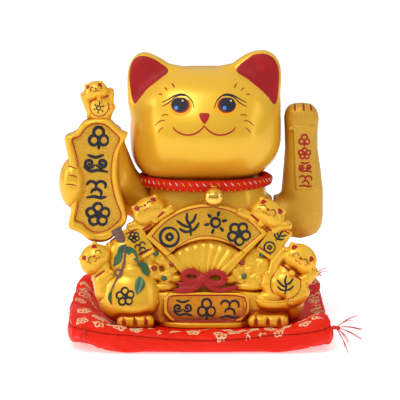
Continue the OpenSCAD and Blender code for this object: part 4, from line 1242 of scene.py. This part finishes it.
def kitten_shape(p, k):
    axes = WORLD.moved(*k["head"], k["w"], turn=k["turn"])
    q = axes.local(p)
    a, b, c = k["half"]
    cheeks = [egg(q, (x * a, -0.22 * b, 0.05 * c), (0.56 * a, 0.66 * b, 0.84 * c)) for x in (-0.46, 0.46)]
    f = join(3.5, egg(q, (0, 0.02 * b, 0), (0.97 * a, b, c)), *cheeks,
             egg(q, (0, -0.05 * b, 0.5 * c), (0.5 * a, 0.45 * b, 0.5 * c)))
    head = np.array([*k["head"], k["w"]])
    for u, v in k["ears"]:
        tip = np.array([u, v, k["w"] + 0.22 * c])
        f = smin(f, limb(p, head + 0.60 * (tip - head), tip + 0.12 * (tip - head), 0.44 * a, 0.17 * a), 1.4)
    body = join(2.5, *[limbs(p, [(u, v, w) for (u, v), w in zip(path, depth)], radii, 1.0) for path, radii,
                       depth in k["limbs"]])
    if "medal" in k:
        u, v, w, r, d = k["medal"]
        body = smin(body, egg(p, (u, v, w), (r, r, d)), 1.2)
    for u, v, w, r in k["balls"]:
        body = smin(body, length(p[0] - u, p[1] - v, p[2] - w) - r, 0.8)
    f = smin(f, body, 0.9)
    for u, v, turn in k["claws"]:
        c, s = math.cos(math.radians(turn)), math.sin(math.radians(turn))
        for side in (-1, 1):
            cut = length((p[0] - u - 1.1 * side * c) * c + (p[1] - v - 1.1 * side * s) * s,
                         np.maximum(np.abs(-(p[0] - u) * s + (p[1] - v) * c) - 1.6, 0)) - 0.1
            f = f + 0.5 * np.exp(-(np.maximum(cut, 0) / 0.6) ** 2)
    return smax(f, -9 - p[2], 1)


kitten_red, kitten_ink = [], []
for name, k in KITTENS.items():
    spread = [k["head"]] + list(k["ears"]) + [pt for path, _, _ in k["limbs"] for pt in path]
    if "medal" in k:
        spread.append(k["medal"][:2])
    kitten = cast(name, *belly_box(spread, -10, 22, 17), 0.7, lambda p, k=k: kitten_shape(p, k), axes=k["axes"])
    red, ink = Decal(surface(kitten), k["axes"]), Decal(surface(kitten), k["axes"])
    (eu, ev), (fu, fv) = k["eyes"]
    tilt = math.degrees(math.atan2(fv - ev, fu - eu))
    c, s = math.cos(math.radians(tilt)), math.sin(math.radians(tilt))
    small = k["half"][0] / 16.0
    nu, nv = k["nose"]
    at = lambda a, b: (nu + small * (a * c - b * s), nv + small * (a * s + b * c))
    for u, v in k["eyes"]:
        ink.stroke([(u + small * (a * c - b * s), v + small * (a * s + b * c)) for a,
                    b in ((-2.7, -1.3), (-1.3, 0.5), (0.4, 0.9), (2.5, -0.9))], 1.25, 0.3)
    red.disc(nu, nv, 1.45 * small, 1.2 * small, 0.4, turn=tilt, count=12)
    red.stroke([at(-3.9, -3.2), at(-2.8, -4.4), at(-1.3, -4.2), at(-0.2, -2.6)], 0.9, 0.25)
    red.stroke([at(0.2, -2.6), at(1.0, -4.2), at(2.5, -4.5), at(3.8, -3.4)], 0.9, 0.25)
    for side in (-1, 1):
        for a, b, da, db in ((8.0, 0.6, 2.2, 1.0), (7.8, -0.9, 2.4, 0.0), (7.4, -2.4, 2.2, -1.0)):
            red.stroke([at(side * (a - da / 2), b - db / 2), at(side * (a + da / 2), b + db / 2)], 0.85, 0.22)
    for u, v in k["ears"]:
        d = np.array([u - k["head"][0], v - k["head"][1]])
        d *= small / np.linalg.norm(d)
        n = np.array([-d[1], d[0]])
        tip = np.array([u, v])
        red.patch([tip + 0.9 * d, tip - 1.0 * d + 2.3 * n, tip - 2.9 * d + 2.7 * n, tip - 3.6 * d,
                   tip - 2.9 * d - 2.7 * n,
                   tip - 1.0 * d - 2.3 * n], 0.25, rings=4, count=24)
    for u, v, turn in k["claws"]:
        for i in (-1, 0, 1):
            a = math.radians(turn + 90 - 16 * i)
            out = 2.0 * small * i
            x, y = u + out * math.cos(math.radians(turn)), v + out * math.sin(math.radians(turn))
            red.stroke([(x, y), (x + 1.9 * math.cos(a), y + 1.9 * math.sin(a))], 0.8 * small, 0.25, taper=0.5)
    for a, b in k["bars"]:
        red.stroke([a, b], 2.3 * small, 0.45, taper=0.85, count=6)
    if "medal" in k:
        u, v, w, r, d = k["medal"]
        r *= 0.94
        start, end = (128, 378) if name != "board_kitten" else (155, 385)
        red.stroke(loop(u, v, r, r, start, end, 24), 1.1, 0.3, taper=0.7, count=50)
        motif(ink, "leaf" if name != "board_kitten" else "sun", u - 0.4, v - 1.0, 1.28 * r, 0.155 * r, 0.7)
    kitten_red.append(red)
    kitten_ink.append(ink)


def merged(name, decals, material, slot):
    points, faces = gather([(d.points, d.faces) for d in decals])
    return make_mesh(name, points, faces, ROOT, slot, material)


merged("kitten_red_lines", kitten_red, RED_LINE, "red_glaze")
merged("kitten_dark_lines", kitten_ink, INK, "ink_glaze")

# ---------- painted lines and ornaments on the belly ----------

belly_tree = surface(*[made[n] for n in ("fan_panel", "base_plaque", "left_banner", "right_banner", "lucky_sack",
                                         "left_foot", "right_foot")])
lines, words = Decal(belly_tree, BELLY), Decal(belly_tree, BELLY)
for path in (FAN_TOP, FAN_LOW, [FAN_TOP[0], FAN_LOW[-1]], [FAN_TOP[-1], FAN_LOW[0]]):
    lines.stroke(path, 1.15, 0.35, taper=0.9, count=46 if len(path) > 2 else 14)
plate = curve(PLATE_IN, 72, closed=True)
lines.stroke(np.vstack([plate, plate[:2]]), 1.25, 0.35, taper=0.95, count=110)
for a, b in (((-76.2, 88.3), (-64.4, 93.2)), ((-64.1, 67.0), (-51.9, 73.8)), ((70.8, 95.3), (82.4, 88.6)),
             ((53.0, 75.4), (64.4, 67.9))):
    lines.stroke([a, b], 1.6, 0.45, taper=0.9, count=9)
for a, b, w in (((-78.7, 8.9), (-78.5, 5.6), 1.2), ((-67.7, 7.5), (-67.2, 2.6), 1.7),
                ((-57.1, 8.5), (-56.5, 2.1), 2.1),
                ((49.4, 8.7), (50.3, 1.5), 2.0), ((60.8, 6.5), (61.8, 0.5), 2.0), ((72.7, 6.5), (72.4, 1.3), 1.8)):
    lines.stroke([a, b], w, 0.4, taper=0.8, count=7)
lines.piece("belly_red_lines", RED_LINE, "red_glaze")
for kind, (u, v), size, width, turn in (
        ("coin", (-34.1, 85.1), 20.5, 3.2, 38), ("leaf", (-15.5, 97.4), 24, 3.0, 15),
        ("sun", (10.8, 99.0), 24, 3.2, -8), ("bloom", (33.6, 88.2), 25, 3.0, -33),
        ("cloud", (-21.1, 15.6), 20, 2.4, 0), ("knot", (2.0, 15.6), 22, 2.4, 0), ("wave", (24.4, 15.6), 20, 2.5, 0),
        ("bloom", (-76.4, 26.5), 20, 2.2, 4), ("bloom", (-68.4, 85.1), 12, 1.7, 30),
        ("wave", (-61.6, 74.6), 12, 1.7, 30),
        ("leaf", (73.0, 86.7), 13, 1.8, -35), ("coin", (63.3, 75.0), 12, 1.8, -35)):
    motif(words, kind, u, v, size, width, 0.9, turn)
words.piece("belly_ornaments", INK, "ink_glaze")

# ---------- branch, beads and tail ----------

BEADS = [(-47.2, 69.1, 0), (-39.4, 45.0, 0), (55.9, 67.8, 0), (38.3, 46.9, 0), (-48.9, 54.8, 1), (-31.6, 58.7, 1),
         (36.0, 60.3, 1)]
lobe_tree = Decal(surface(made["left_coins"], made["right_coins"], made["torso_shell"], made["fan_panel"]), BELLY)
spots = []
for u, v, _ in BEADS:
    hit, _ = lobe_tree.drop(u, v)
    spots.append((u, v, BELLY.local(hit)[2] + 0.5))


def beads_shape(p):
    f = None
    for u, v, w in spots:
        a = np.arctan2(p[1] - v, p[0] - u)
        d = egg(p, (u, v, w), (3.0, 2.8, 2.5)) + 0.16 * np.cos(5 * a + u)
        f = d if f is None else np.minimum(f, d)
    return f


beads = cast("jewel_beads", *belly_box([b[:2] for b in BEADS], 4, 18), 0.45, beads_shape, axes=BELLY,
             slot="bead_glaze",
             material=BEAD_GREEN, shade=False)


def near_red(q):
    u, v, _ = BELLY.local(q)
    return np.any([length(u - b[0], v - b[1]) < 5 for b in BEADS if b[2]], axis=0)


second_material(beads, BEAD_RED, near_red)

under_tree = Decal(surface(*[made[n]
                             for n in ("lucky_sack", "left_coins", "torso_shell", "left_banner",
                                       "lower_left_kitten")]), BELLY)
STEM_LINE = [(-76.6, 76.5), (-77.0, 65.8), (-79.0, 56.1), (-82.3, 48.3), (-86.4, 41.0), (-90.2, 32.7)]


def heights(path, lift, fit=1):
    """How far out a line over uneven ground lies: a straight or bent fit to the ground below it."""
    ground = [BELLY.local(under_tree.drop(u, v)[0])[2] if under_tree.drop(u, v) else 0.0 for u, v in path]
    ground = np.maximum(ground, 1.0)
    s = np.linspace(0, 1, len(path))
    line = np.polyval(np.polyfit(s, ground, fit), s)
    return line + max(0.0, 0.45 * np.max(ground - line)) + lift


stem_path = curve(STEM_LINE, 22)
stem = [(u, v, w) for (u, v), w in zip(stem_path, heights(stem_path, 0.5, 3))]
ring_at = (-83.5, 49.6, stem[11][2] + 0.6)


def twig_shape(p):
    f = flat_limbs(p, at_height([(-85.6, 91.7), (-81.8, 84.3), (-76.6, 74.6)], (11.5, 11.0, 10.0)), [5.4, 4.2, 1.5],
                   flat=0.8, k=1.5)
    for u0 in (-1.8, 1.6):
        f = smax(f, -limb(p, (-85.6 + u0, 91.7, 16.2), (-78.3 + 0.5 * u0, 78.5, 12.6), 0.5, 0.2), 0.6)
    f = smax(f, ((p[0] + 85.6) * -0.35 + (p[1] - 93.1) * 0.94), 0.6)
    f = smin(f, limbs(p, stem, np.linspace(1.3, 0.7, len(stem))), 0.6)
    knot = length(length(p[0] - ring_at[0], (p[1] - ring_at[1]) * 0.8) - 2.7, p[2] - ring_at[2]) - 1.0
    return smin(f, knot, 0.5)


cast("willow_branch", *belly_box([(-92.0, 94.1), (-72.3, 31.7)], -2, 24, 8), 0.5, twig_shape, axes=BELLY,
     slot="twig_glaze",
            material=STEM, shade=False)

leaves = []
for a, b, half, bend in (((-76.8, 77.3), (-84.5, 67.8), 4.0, 0.8), ((-80.5, 69.5), (-88.4, 56.1), 3.9, 0.5),
                         ((-76.2, 75.2), (-63.7, 59.8), 4.2, 0.7),
                         ((-65.3, 60.5), (-54.5, 46.1), 5.4, 1.0), ((-61.7, 46.3), (-65.2, 28.8), 5.2, 0.6),
                         ((-90.1, 32.7), (-89.6, 18.7), 1.9, -1.6)):
    a, b = np.array(a), np.array(b)
    n = np.array([-(b - a)[1], (b - a)[0]]) / np.linalg.norm(b - a)
    t = np.linspace(0, 1, 15)
    middle = [a + (b - a) * s + n * bend * math.sin(math.pi * s) for s in t]
    rise = heights(middle, 1.0)
    width = half * np.sin(np.pi * np.clip(t, 0.015, 0.985)) ** 0.8 * (1 + 0.25 * np.cos(np.pi * t))
    across = (-1, -0.8, -0.35, 0, 0.35, 0.8, 1)
    top = [(*(m + n * x * wd), r + dz) for m, wd, r in zip(middle, width, rise) for x,
           dz in zip(across, (-0.5, 0.25, 0.15, -0.35, 0.15, 0.25, -0.5))]
    low = [(u, v, w - 1.4) for u, v, w in top]
    m, k = len(across), len(t)
    faces = [(i * m + j, (i + 1) * m + j, (i + 1) * m + j + 1, i * m + j + 1) for i in range(k - 1)
             for j in range(m - 1)]
    faces += [tuple(m * k + x for x in f[::-1]) for f in faces]
    rim = list(range(m)) + [(i + 1) * m - 1 for i in range(1, k)]
    rim += [(k - 1) * m + j for j in range(m - 2, -1, -1)] + [i * m for i in range(k - 2, 0, -1)]
    faces += [(rim[i], rim[(i + 1) % len(rim)], rim[(i + 1) % len(rim)] + m * k, rim[i] + m * k)
              for i in range(len(rim))]
    leaves.append((BELLY.world(top + low), faces))
make_mesh("branch_leaves", *gather(leaves), ROOT, "green_glaze", GREEN)

cast("tail", (-76, 44, 18), (-42, 80, 72), 1.4,
     lambda p: smax(limbs(p, [(-54, 56, 28), (-58, 62, 42), (-60, 65.5, 58)], [11.5, 11, 9.6], 3),
                    -torso_shape(p) - 6, 1))


# ---------- cushion ----------


def fade(a, low, high):
    t = np.clip((a - low) / (high - low), 0, 1)
    return t * t * (3 - 2 * t)


def cushion_rim(x, y):
    """Height of the puffed rim: pressed flat between the front corners, fuller on the left."""
    front = fade(-y, 55, 100) * (1 - fade(np.abs(x), 62, 116))
    crown = 3.0 * fade(np.abs(x), 60, 125) * fade(np.abs(y), 60, 125)
    left = 3.0 * fade(-x, 90, 125) * (1 - fade(-y, 70, 120))
    return 33.5 - 14.5 * front - crown + left


def seat_share(x, y):
    return ellipse_norm(x / 107, (y + 3) / 95, 3.4)


def cushion_top(x, y):
    rim = cushion_rim(x, y)
    return 16.4 + (rim - 16.4) * fade(seat_share(x, y), 0.93, 1.22)


def cushion_side(x, y):
    """Distance outside the plan outline: the right side pulls in between its corners."""
    t = y / 127
    pull = np.where(x > 0, 8.5 + 1.5 * t - 3.0 * t * t, 2.3 * (t + 0.6) ** 2 - 4.5)
    r = ellipse_norm(x / (129.5 - pull), y / (127.0 + 4.0 * (1 - (x / 131) ** 2).clip(0, 1) * (y < 0)), 11.0)
    return (r - 1) * 118


def cushion_lift(x, y):
    """The underside rises to the four corners."""
    a, b = np.clip((np.abs(x) - 72) / 56, 0, 1), np.clip((np.abs(y) - 72) / 54, 0, 1)
    return 22 * (a * b) ** 2.1


def seam_height(x, y):
    return 22 + fade(-y, 70, 120) * (11 * np.abs(x / 125) ** 1.6 - 9)


def cushion_shape(p):
    x, y, z = p
    side = cushion_side(x, y)
    f = smax(side + 0.006 * (z - seam_height(x, y)) ** 2, z - cushion_top(x, y), 12)
    return smax(f, cushion_lift(x, y) - z, 4)


def cushion():
    step = 5.8
    low, high = np.array((-136.0, -134.0, -6.0)), np.array((136.0, 134.0, 42.0))
    line = [np.arange(low[i], high[i], step) for i in range(3)]
    points, faces = polygonise(cushion_shape(np.meshgrid(*line, indexing="ij")), low, step)
    obj = make_mesh("cushion", points, faces, ROOT, "red_brocade", BROCADE,
                    replaces=("cushion_cover", "cushion_filling"))
    mesh = obj.data
    start = read_mesh(mesh)
    x, y, z = (start / MM).T
    held = obj.vertex_groups.new(name="held")
    flat = (z < 1.5) | (seat_share(x, y) < 1.0)
    near = np.abs(z - seam_height(x, y)) < 3.2
    for i in np.nonzero(flat | (near & (cushion_side(x, y) > -8)))[0]:
        held.add([int(i)], 1.0 if flat[i] else 0.8, "REPLACE")
    scene = bpy.context.scene
    cloth = obj.modifiers.new("cloth", "CLOTH")
    s = cloth.settings
    s.quality, s.mass, s.time_scale = 6, 0.25, 1.0
    s.tension_stiffness = s.compression_stiffness = 12
    s.shear_stiffness, s.bending_stiffness = 6, 0.35
    s.use_pressure, s.uniform_pressure_force = True, 2.6
    s.shrink_min = -0.045
    s.vertex_group_mass, s.pin_stiffness = "held", 1.0
    s.effector_weights.gravity = 0
    cloth.collision_settings.use_self_collision = False
    cloth.point_cache.frame_start, cloth.point_cache.frame_end = 1, 22
    for f in range(1, 21):
        scene.frame_set(f)
    settled = obj.evaluated_get(bpy.context.evaluated_depsgraph_get()).data
    move = read_mesh(settled) - start
    obj.modifiers.remove(cloth)
    scene.frame_set(1)
    far = np.linalg.norm(move, axis=1)[:, None]
    move *= np.minimum(1.0, 0.006 / (far + 1e-9))
    end = start + move
    end[:, 2] = np.maximum(end[:, 2], 0.0004)
    top = cushion_top(x, y) * MM
    end[:, 2] = np.where(seat_share(x, y) < 0.97, np.minimum(end[:, 2], np.maximum(top, 0)), end[:, 2])
    mesh.vertices.foreach_set("co", end.ravel())
    for i in range(2):
        sub = obj.modifiers.new("smooth", "SUBSURF")
        sub.levels = sub.render_levels = 1
        done = bpy.data.meshes.new_from_object(obj.evaluated_get(bpy.context.evaluated_depsgraph_get()))
        obj.modifiers.clear()
        obj.data = done
    mesh = obj.data
    mesh.name = "cushion"
    co, no = read_mesh(mesh) / MM, read_mesh(mesh, "normal")
    x, y, z = co.T
    around = np.arctan2(y, x)
    reach = length(x, y)
    edge = cushion_side(x, y) > -9
    gap = z - seam_height(x, y)
    along = around * reach
    groove = -1.8 * np.exp(-(gap / 1.6) ** 2)
    gathers = fade(np.sin(along / 31), -0.2, 0.9)
    pucker = 0.45 * np.sin(along / 3.4 + 2.2 * np.sin(along / 23)) * np.exp(-np.abs(gap) / 4.5) * gathers
    shift = np.where(edge, groove + pucker, 0.0)
    shift = shift + 0.9 * np.sin(along / 27 + 1.1 * np.sin(z / 11 + along / 60)) * fade(seat_share(x, y), 1.02,
                                                                                        1.15)
    for cx, cy in ((127, -124), (124, 124), (-127, -124), (-127, 124)):  # folds that run in to each corner
        dx, dy = x - cx, y - cy
        d = length(dx, dy)
        a = np.arctan2(dy, dx)
        fold = np.maximum(0, np.sin(7 * a + 1.5 * np.sin(3 * a) + cx)) ** 2 - 0.4
        shift = shift + 2.0 * fold * np.exp(-((d - 24) / 17) ** 2) * (z > 4)
    shift = np.where(z < 0.8, 0.0, shift)
    co = co + no * shift[:, None]
    co[:, 2] = np.maximum(co[:, 2], 0.3)
    mesh.vertices.foreach_set("co", (co * MM).ravel())
    mesh.update()
    return obj


pillow = cushion()
pillow_tree = surface(pillow)

# The seam's stitched edge, which lies in its groove.
seam = []
for a in np.linspace(0, 2 * math.pi, 420, endpoint=False):
    d = np.array([math.cos(a), math.sin(a)])
    reach = 118 / max(abs(d[0]), abs(d[1]))
    z = float(seam_height(*(d * reach)))
    hit, _, _, _ = pillow_tree.ray_cast(Vector((*(d * 230), z)), Vector((*-d, 0)), 200)
    if hit is not None:
        seam.append(np.array(hit))
make_mesh("cushion_seam", *tube(seam, 0.55, 6, closed=True), ROOT, "red_brocade",
          thread_of("seam_thread", (0.40, 0.008, 0.003)))

# Woven blossoms and twigs on the upper panel.
ABOVE = Axes((0, 0, 60), (1, 0, 0), (0, 1, 0))
blossoms = Decal(pillow_tree, ABOVE, reach=40)


def blossom(u, v, r, turn):
    for k in range(5):
        a = math.radians(turn + 72 * k)
        blossoms.stroke(loop(u + 0.62 * r * math.cos(a), v + 0.62 * r * math.sin(a), 0.36 * r, 0.36 * r,
                             turn + 72 * k - 150, turn + 72 * k + 150, 7),
                        0.27 * r, 0.3, taper=0.8, count=9)
    blossoms.disc(u, v, 0.2 * r, 0.2 * r, 0.3, count=8)


def sprig(u, v, size, turn):
    a = math.radians(turn)
    c, s = math.cos(a), math.sin(a)
    place = lambda x, y: (u + size * (x * c - y * s), v + size * (x * s + y * c))
    blossoms.stroke([place(-0.5, -0.1), place(-0.1, 0.05), place(0.5, 0.0)], 0.9, 0.25, taper=0.4)
    for x, y, dx, dy in ((-0.25, 0.0, -0.1, 0.28), (0.0, 0.04, 0.12, -0.26), (0.22, 0.03, 0.1, 0.26)):
        blossoms.stroke([place(x, y), place(x + dx, y + dy)], 1.6, 0.25, taper=0.3)


rng = np.random.default_rng(11)
spots_made = []
for i in range(2600):
    u, v = rng.uniform(-124, 124), rng.uniform(-122, 122)
    r = rng.uniform(5.0, 6.6)
    if seat_share(np.array(u), np.array(v)) < 1.03 or cushion_side(np.array(u), np.array(v)) > -3.5 - 0.6 * r:
        continue
    if any(math.hypot(u - a, v - b) < c + r + 1.6 for a, b, c in spots_made):
        continue
    if rng.uniform() < 0.35 and len(spots_made) > 4:
        sprig(u, v, 2.0 * r, rng.uniform(0, 360))
    else:
        blossom(u, v, r, rng.uniform(0, 72))
    spots_made.append((u, v, r))
blossoms.piece("brocade_blossoms", BLOSSOM, "red_brocade")

# ---------- tassels ----------

TASSELS = [((125, -122, 24.5), [(22, -3, 13), (30, -6, 0), (30, -12, -11), (14, -13, -15), (11, -22, -20)], 3),
           ((118, 120, 28), [(12, 10, 6), (15, 6, 2), (9, 15, -3)], 3),
           ((-114, -128, 22), [(3, -4, -14), (-3, -3, -11)], 2),
           ((-122, 121, 28), [(-5, 15, -8), (-11, 9, -12)], 3)]
strands_made = []
for n, (root, runs, count) in enumerate(TASSELS):
    root = np.array(root, float)
    draw = np.random.default_rng(40 + n)
    for run in runs:
        run = np.array(run, float)
        reach = np.linalg.norm(run)
        d = run / reach
        side = np.cross(d, (0, 0, 1.0))
        side /= np.linalg.norm(side)
        up = np.cross(side, d)
        for k in range(count):
            bend, lift = draw.uniform(-0.12, 0.12), draw.uniform(-0.12, 0.12)
            wave, phase = draw.uniform(0.4, 1.2), draw.uniform(0, 6.3)
            long = draw.uniform(0.72, 1.05)
            path = []
            for s in np.linspace(0, 1, 12):
                sway = bend * reach * s ** 1.7 + wave * s * math.sin(6 * s + phase)
                q = root + d * reach * long * s + side * sway
                q = q + up * (lift * reach * s ** 1.8 + 1.6 * math.sin(math.pi * s))
                q[2] = max(q[2], 0.6)
                path.append(q)
            strands_made.append(tube(path, 0.40, 5, taper=np.linspace(1, 0.6, 12)))
    d = np.mean(runs, axis=0)
    d = np.array([d[0], d[1], 0.0]) / np.linalg.norm(d[:2])
    knot = [root + d * s for s in np.linspace(-4, 4, 6)]
    strands_made.append(tube(knot, 2.0, 10, taper=[0.7, 1, 1, 0.75, 0.9, 0.6]))
make_mesh("tassel_threads", *gather(strands_made), ROOT, "tassel_thread", TASSEL, replaces=("corner_tassels",))


# ---------- CAD pieces that show as they are ----------

NODE_LOOK = {
    IVORY: ("arm_hub", "pendulum", "mechanism_frame", "coil_bobbin", "battery_box"),
    STEEL: ("hub_screw", "arm_axle", "axle_clips", "contact_springs", "contact_plates", "frame_screws",
            "cover_screws", "bell_clapper"),
    IRON: ("counterweight",), NICKEL: ("drive_magnet",), BRONZE: ("axle_bushes",), WIRE: ("drive_coil",),
    LAMINATE: ("circuit_board",), SLEEVE: ("coil_leads", "battery_leads"), CELL: ("battery_cells",),
    GOLD_PLASTIC: ("back_cover", "battery_door"), BLACK_PLASTIC: ("switch_knob",),
    GILT: ("rope_crimp", "bell_ring")}
for material, nodes in NODE_LOOK.items():
    for name in nodes:
        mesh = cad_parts[name].data
        mesh.materials.clear()
        mesh.materials.append(material)

# ---------- painted shade and patina of the glaze: recesses, undersides, low parts ---


COARSE = 3.0  # step of the field that the recess shading looks up
FAR = 14.0


def coarse_field():
    low = np.min([f[0] for f in fields], axis=0) - 8
    high = np.max([f[1] for f in fields], axis=0) + 16
    count = np.ceil((high - low) / COARSE).astype(int) + 1
    grid = np.full(count, FAR, np.float32)
    for a, b, shape in fields:
        i0 = np.maximum(np.floor((a - 12 - low) / COARSE).astype(int), 0)
        i1 = np.minimum(np.ceil((b + 12 - low) / COARSE).astype(int) + 1, count)
        line = [low[k] + COARSE * np.arange(i0[k], i1[k]) for k in range(3)]
        box = tuple(slice(i0[k], i1[k]) for k in range(3))
        value = shape(np.meshgrid(*line, indexing="ij"))
        grid[box] = np.minimum(grid[box], value)
    return low, grid


def look_up(low, grid, points):
    """The field's value at points, blended between its eight nearest nodes."""
    q = np.clip((points - low) / COARSE, 0, np.array(grid.shape) - 1.001)
    i = q.astype(int)
    t = q - i
    out = 0
    for corner in np.ndindex(2, 2, 2):
        share = np.prod(np.where(corner, t, 1 - t), axis=1)
        out = out + share * grid[tuple((i + corner).T)]
    return out


low, grid = coarse_field()
for obj in glazed:
    mesh = obj.data
    co, no = read_mesh(mesh) / MM, read_mesh(mesh, "normal")
    # Painted shade: shut darkens places that nearby glaze closes in, under darkens faces that look down, and foot
    # darkens the lowest parts. The recess part also stands for the orange airbrushed into the glaze's hollows.
    shut = 0
    for d, weight in ((3, 0.30), (6, 0.40), (12, 0.30)):
        shut = shut + weight * np.clip((d - look_up(low, grid, co + no * d)) / d, 0, 1)
    under = np.clip(-no[:, 2] - 0.15, 0, 1)
    foot = fade(-co[:, 2], -47, -25) * (0.30 + 0.70 * np.clip(2 * shut + 1.3 * under, 0, 1))
    value = 0.66 * shut + 0.42 * under + 0.80 * foot
    layer = mesh.attributes.new("painted_shade_and_patina", "FLOAT", "POINT")
    layer.data.foreach_set("value", value.astype(np.float32))


# ---------- stage ----------


def stage():
    floor = bpy.data.meshes.new("floor")
    r = 6.0
    floor.from_pydata([(-r, -r, -0.0002), (r, -r, -0.0002), (r, r, -0.0002), (-r, r, -0.0002)], [], [(0, 1, 2, 3)])
    obj = bpy.data.objects.new("floor", floor)
    white = (1.0, 1.0, 1.0, 1.0)
    floor.materials.append(Nodes("floor_white", (0.93, 0.93, 0.93), 0.7, Emission_Color=white,
                                 Emission_Strength=0.46).m)
    bpy.context.scene.collection.objects.link(obj)


def light(name, place, aim, size, watts):
    lamp = bpy.data.lights.new(name, "AREA")
    lamp.shape, lamp.size, lamp.size_y = "RECTANGLE", size[0], size[1]
    lamp.energy = watts
    obj = bpy.data.objects.new(name, lamp)
    obj.location = place
    obj.rotation_euler = (Vector(aim) - Vector(place)).to_track_quat("-Z", "Y").to_euler()
    bpy.context.scene.collection.objects.link(obj)


def camera():
    cam = bpy.data.cameras.new("camera")
    cam.sensor_width, cam.lens = 36.0, 36.0 * 2100 / 400
    cam.clip_end = 30
    cam.shift_x = -4.5 / 400
    obj = bpy.data.objects.new("camera", cam)
    pitch = math.radians(9.0)
    aim, away = Vector((0, 0, 0.128)), 2.1
    obj.location = aim + away * Vector((0, -math.cos(pitch), math.sin(pitch)))
    obj.rotation_euler = (aim - obj.location).to_track_quat("-Z", "Y").to_euler()
    bpy.context.scene.collection.objects.link(obj)
    bpy.context.scene.camera = obj


def sky():
    """Bright overhead, darker towards the horizon."""
    world = bpy.data.worlds.new("studio")
    bpy.context.scene.world = world
    world.use_nodes = True
    tree = world.node_tree
    coords, split, ramp = (tree.nodes.new("ShaderNode" + kind) for kind in ("TexCoord", "SeparateXYZ", "ValToRGB"))
    tree.links.new(coords.outputs["Generated"], split.inputs[0])
    tree.links.new(split.outputs["Z"], ramp.inputs["Fac"])
    low, high = ramp.color_ramp.elements
    low.position, low.color = 0.0, (0.28, 0.28, 0.28, 1)
    high.position, high.color = 0.75, (1.0, 1.0, 1.0, 1)
    background = tree.nodes["Background"]
    tree.links.new(ramp.outputs["Color"], background.inputs["Color"])
    background.inputs["Strength"].default_value = 0.76


stage()
camera()
sky()
bpy.context.scene.view_settings.view_transform = "Standard"
light("key", (-0.6, -1.0, 1.9), (0, 0, 0.15), (1.0, 0.8), 15)
light("left", (-1.8, -0.4, 0.8), (0, 0, 0.16), (0.5, 1.3), 9)
light("right", (1.6, -0.6, 0.6), (0, 0, 0.14), (0.3, 1.1), 2.5)
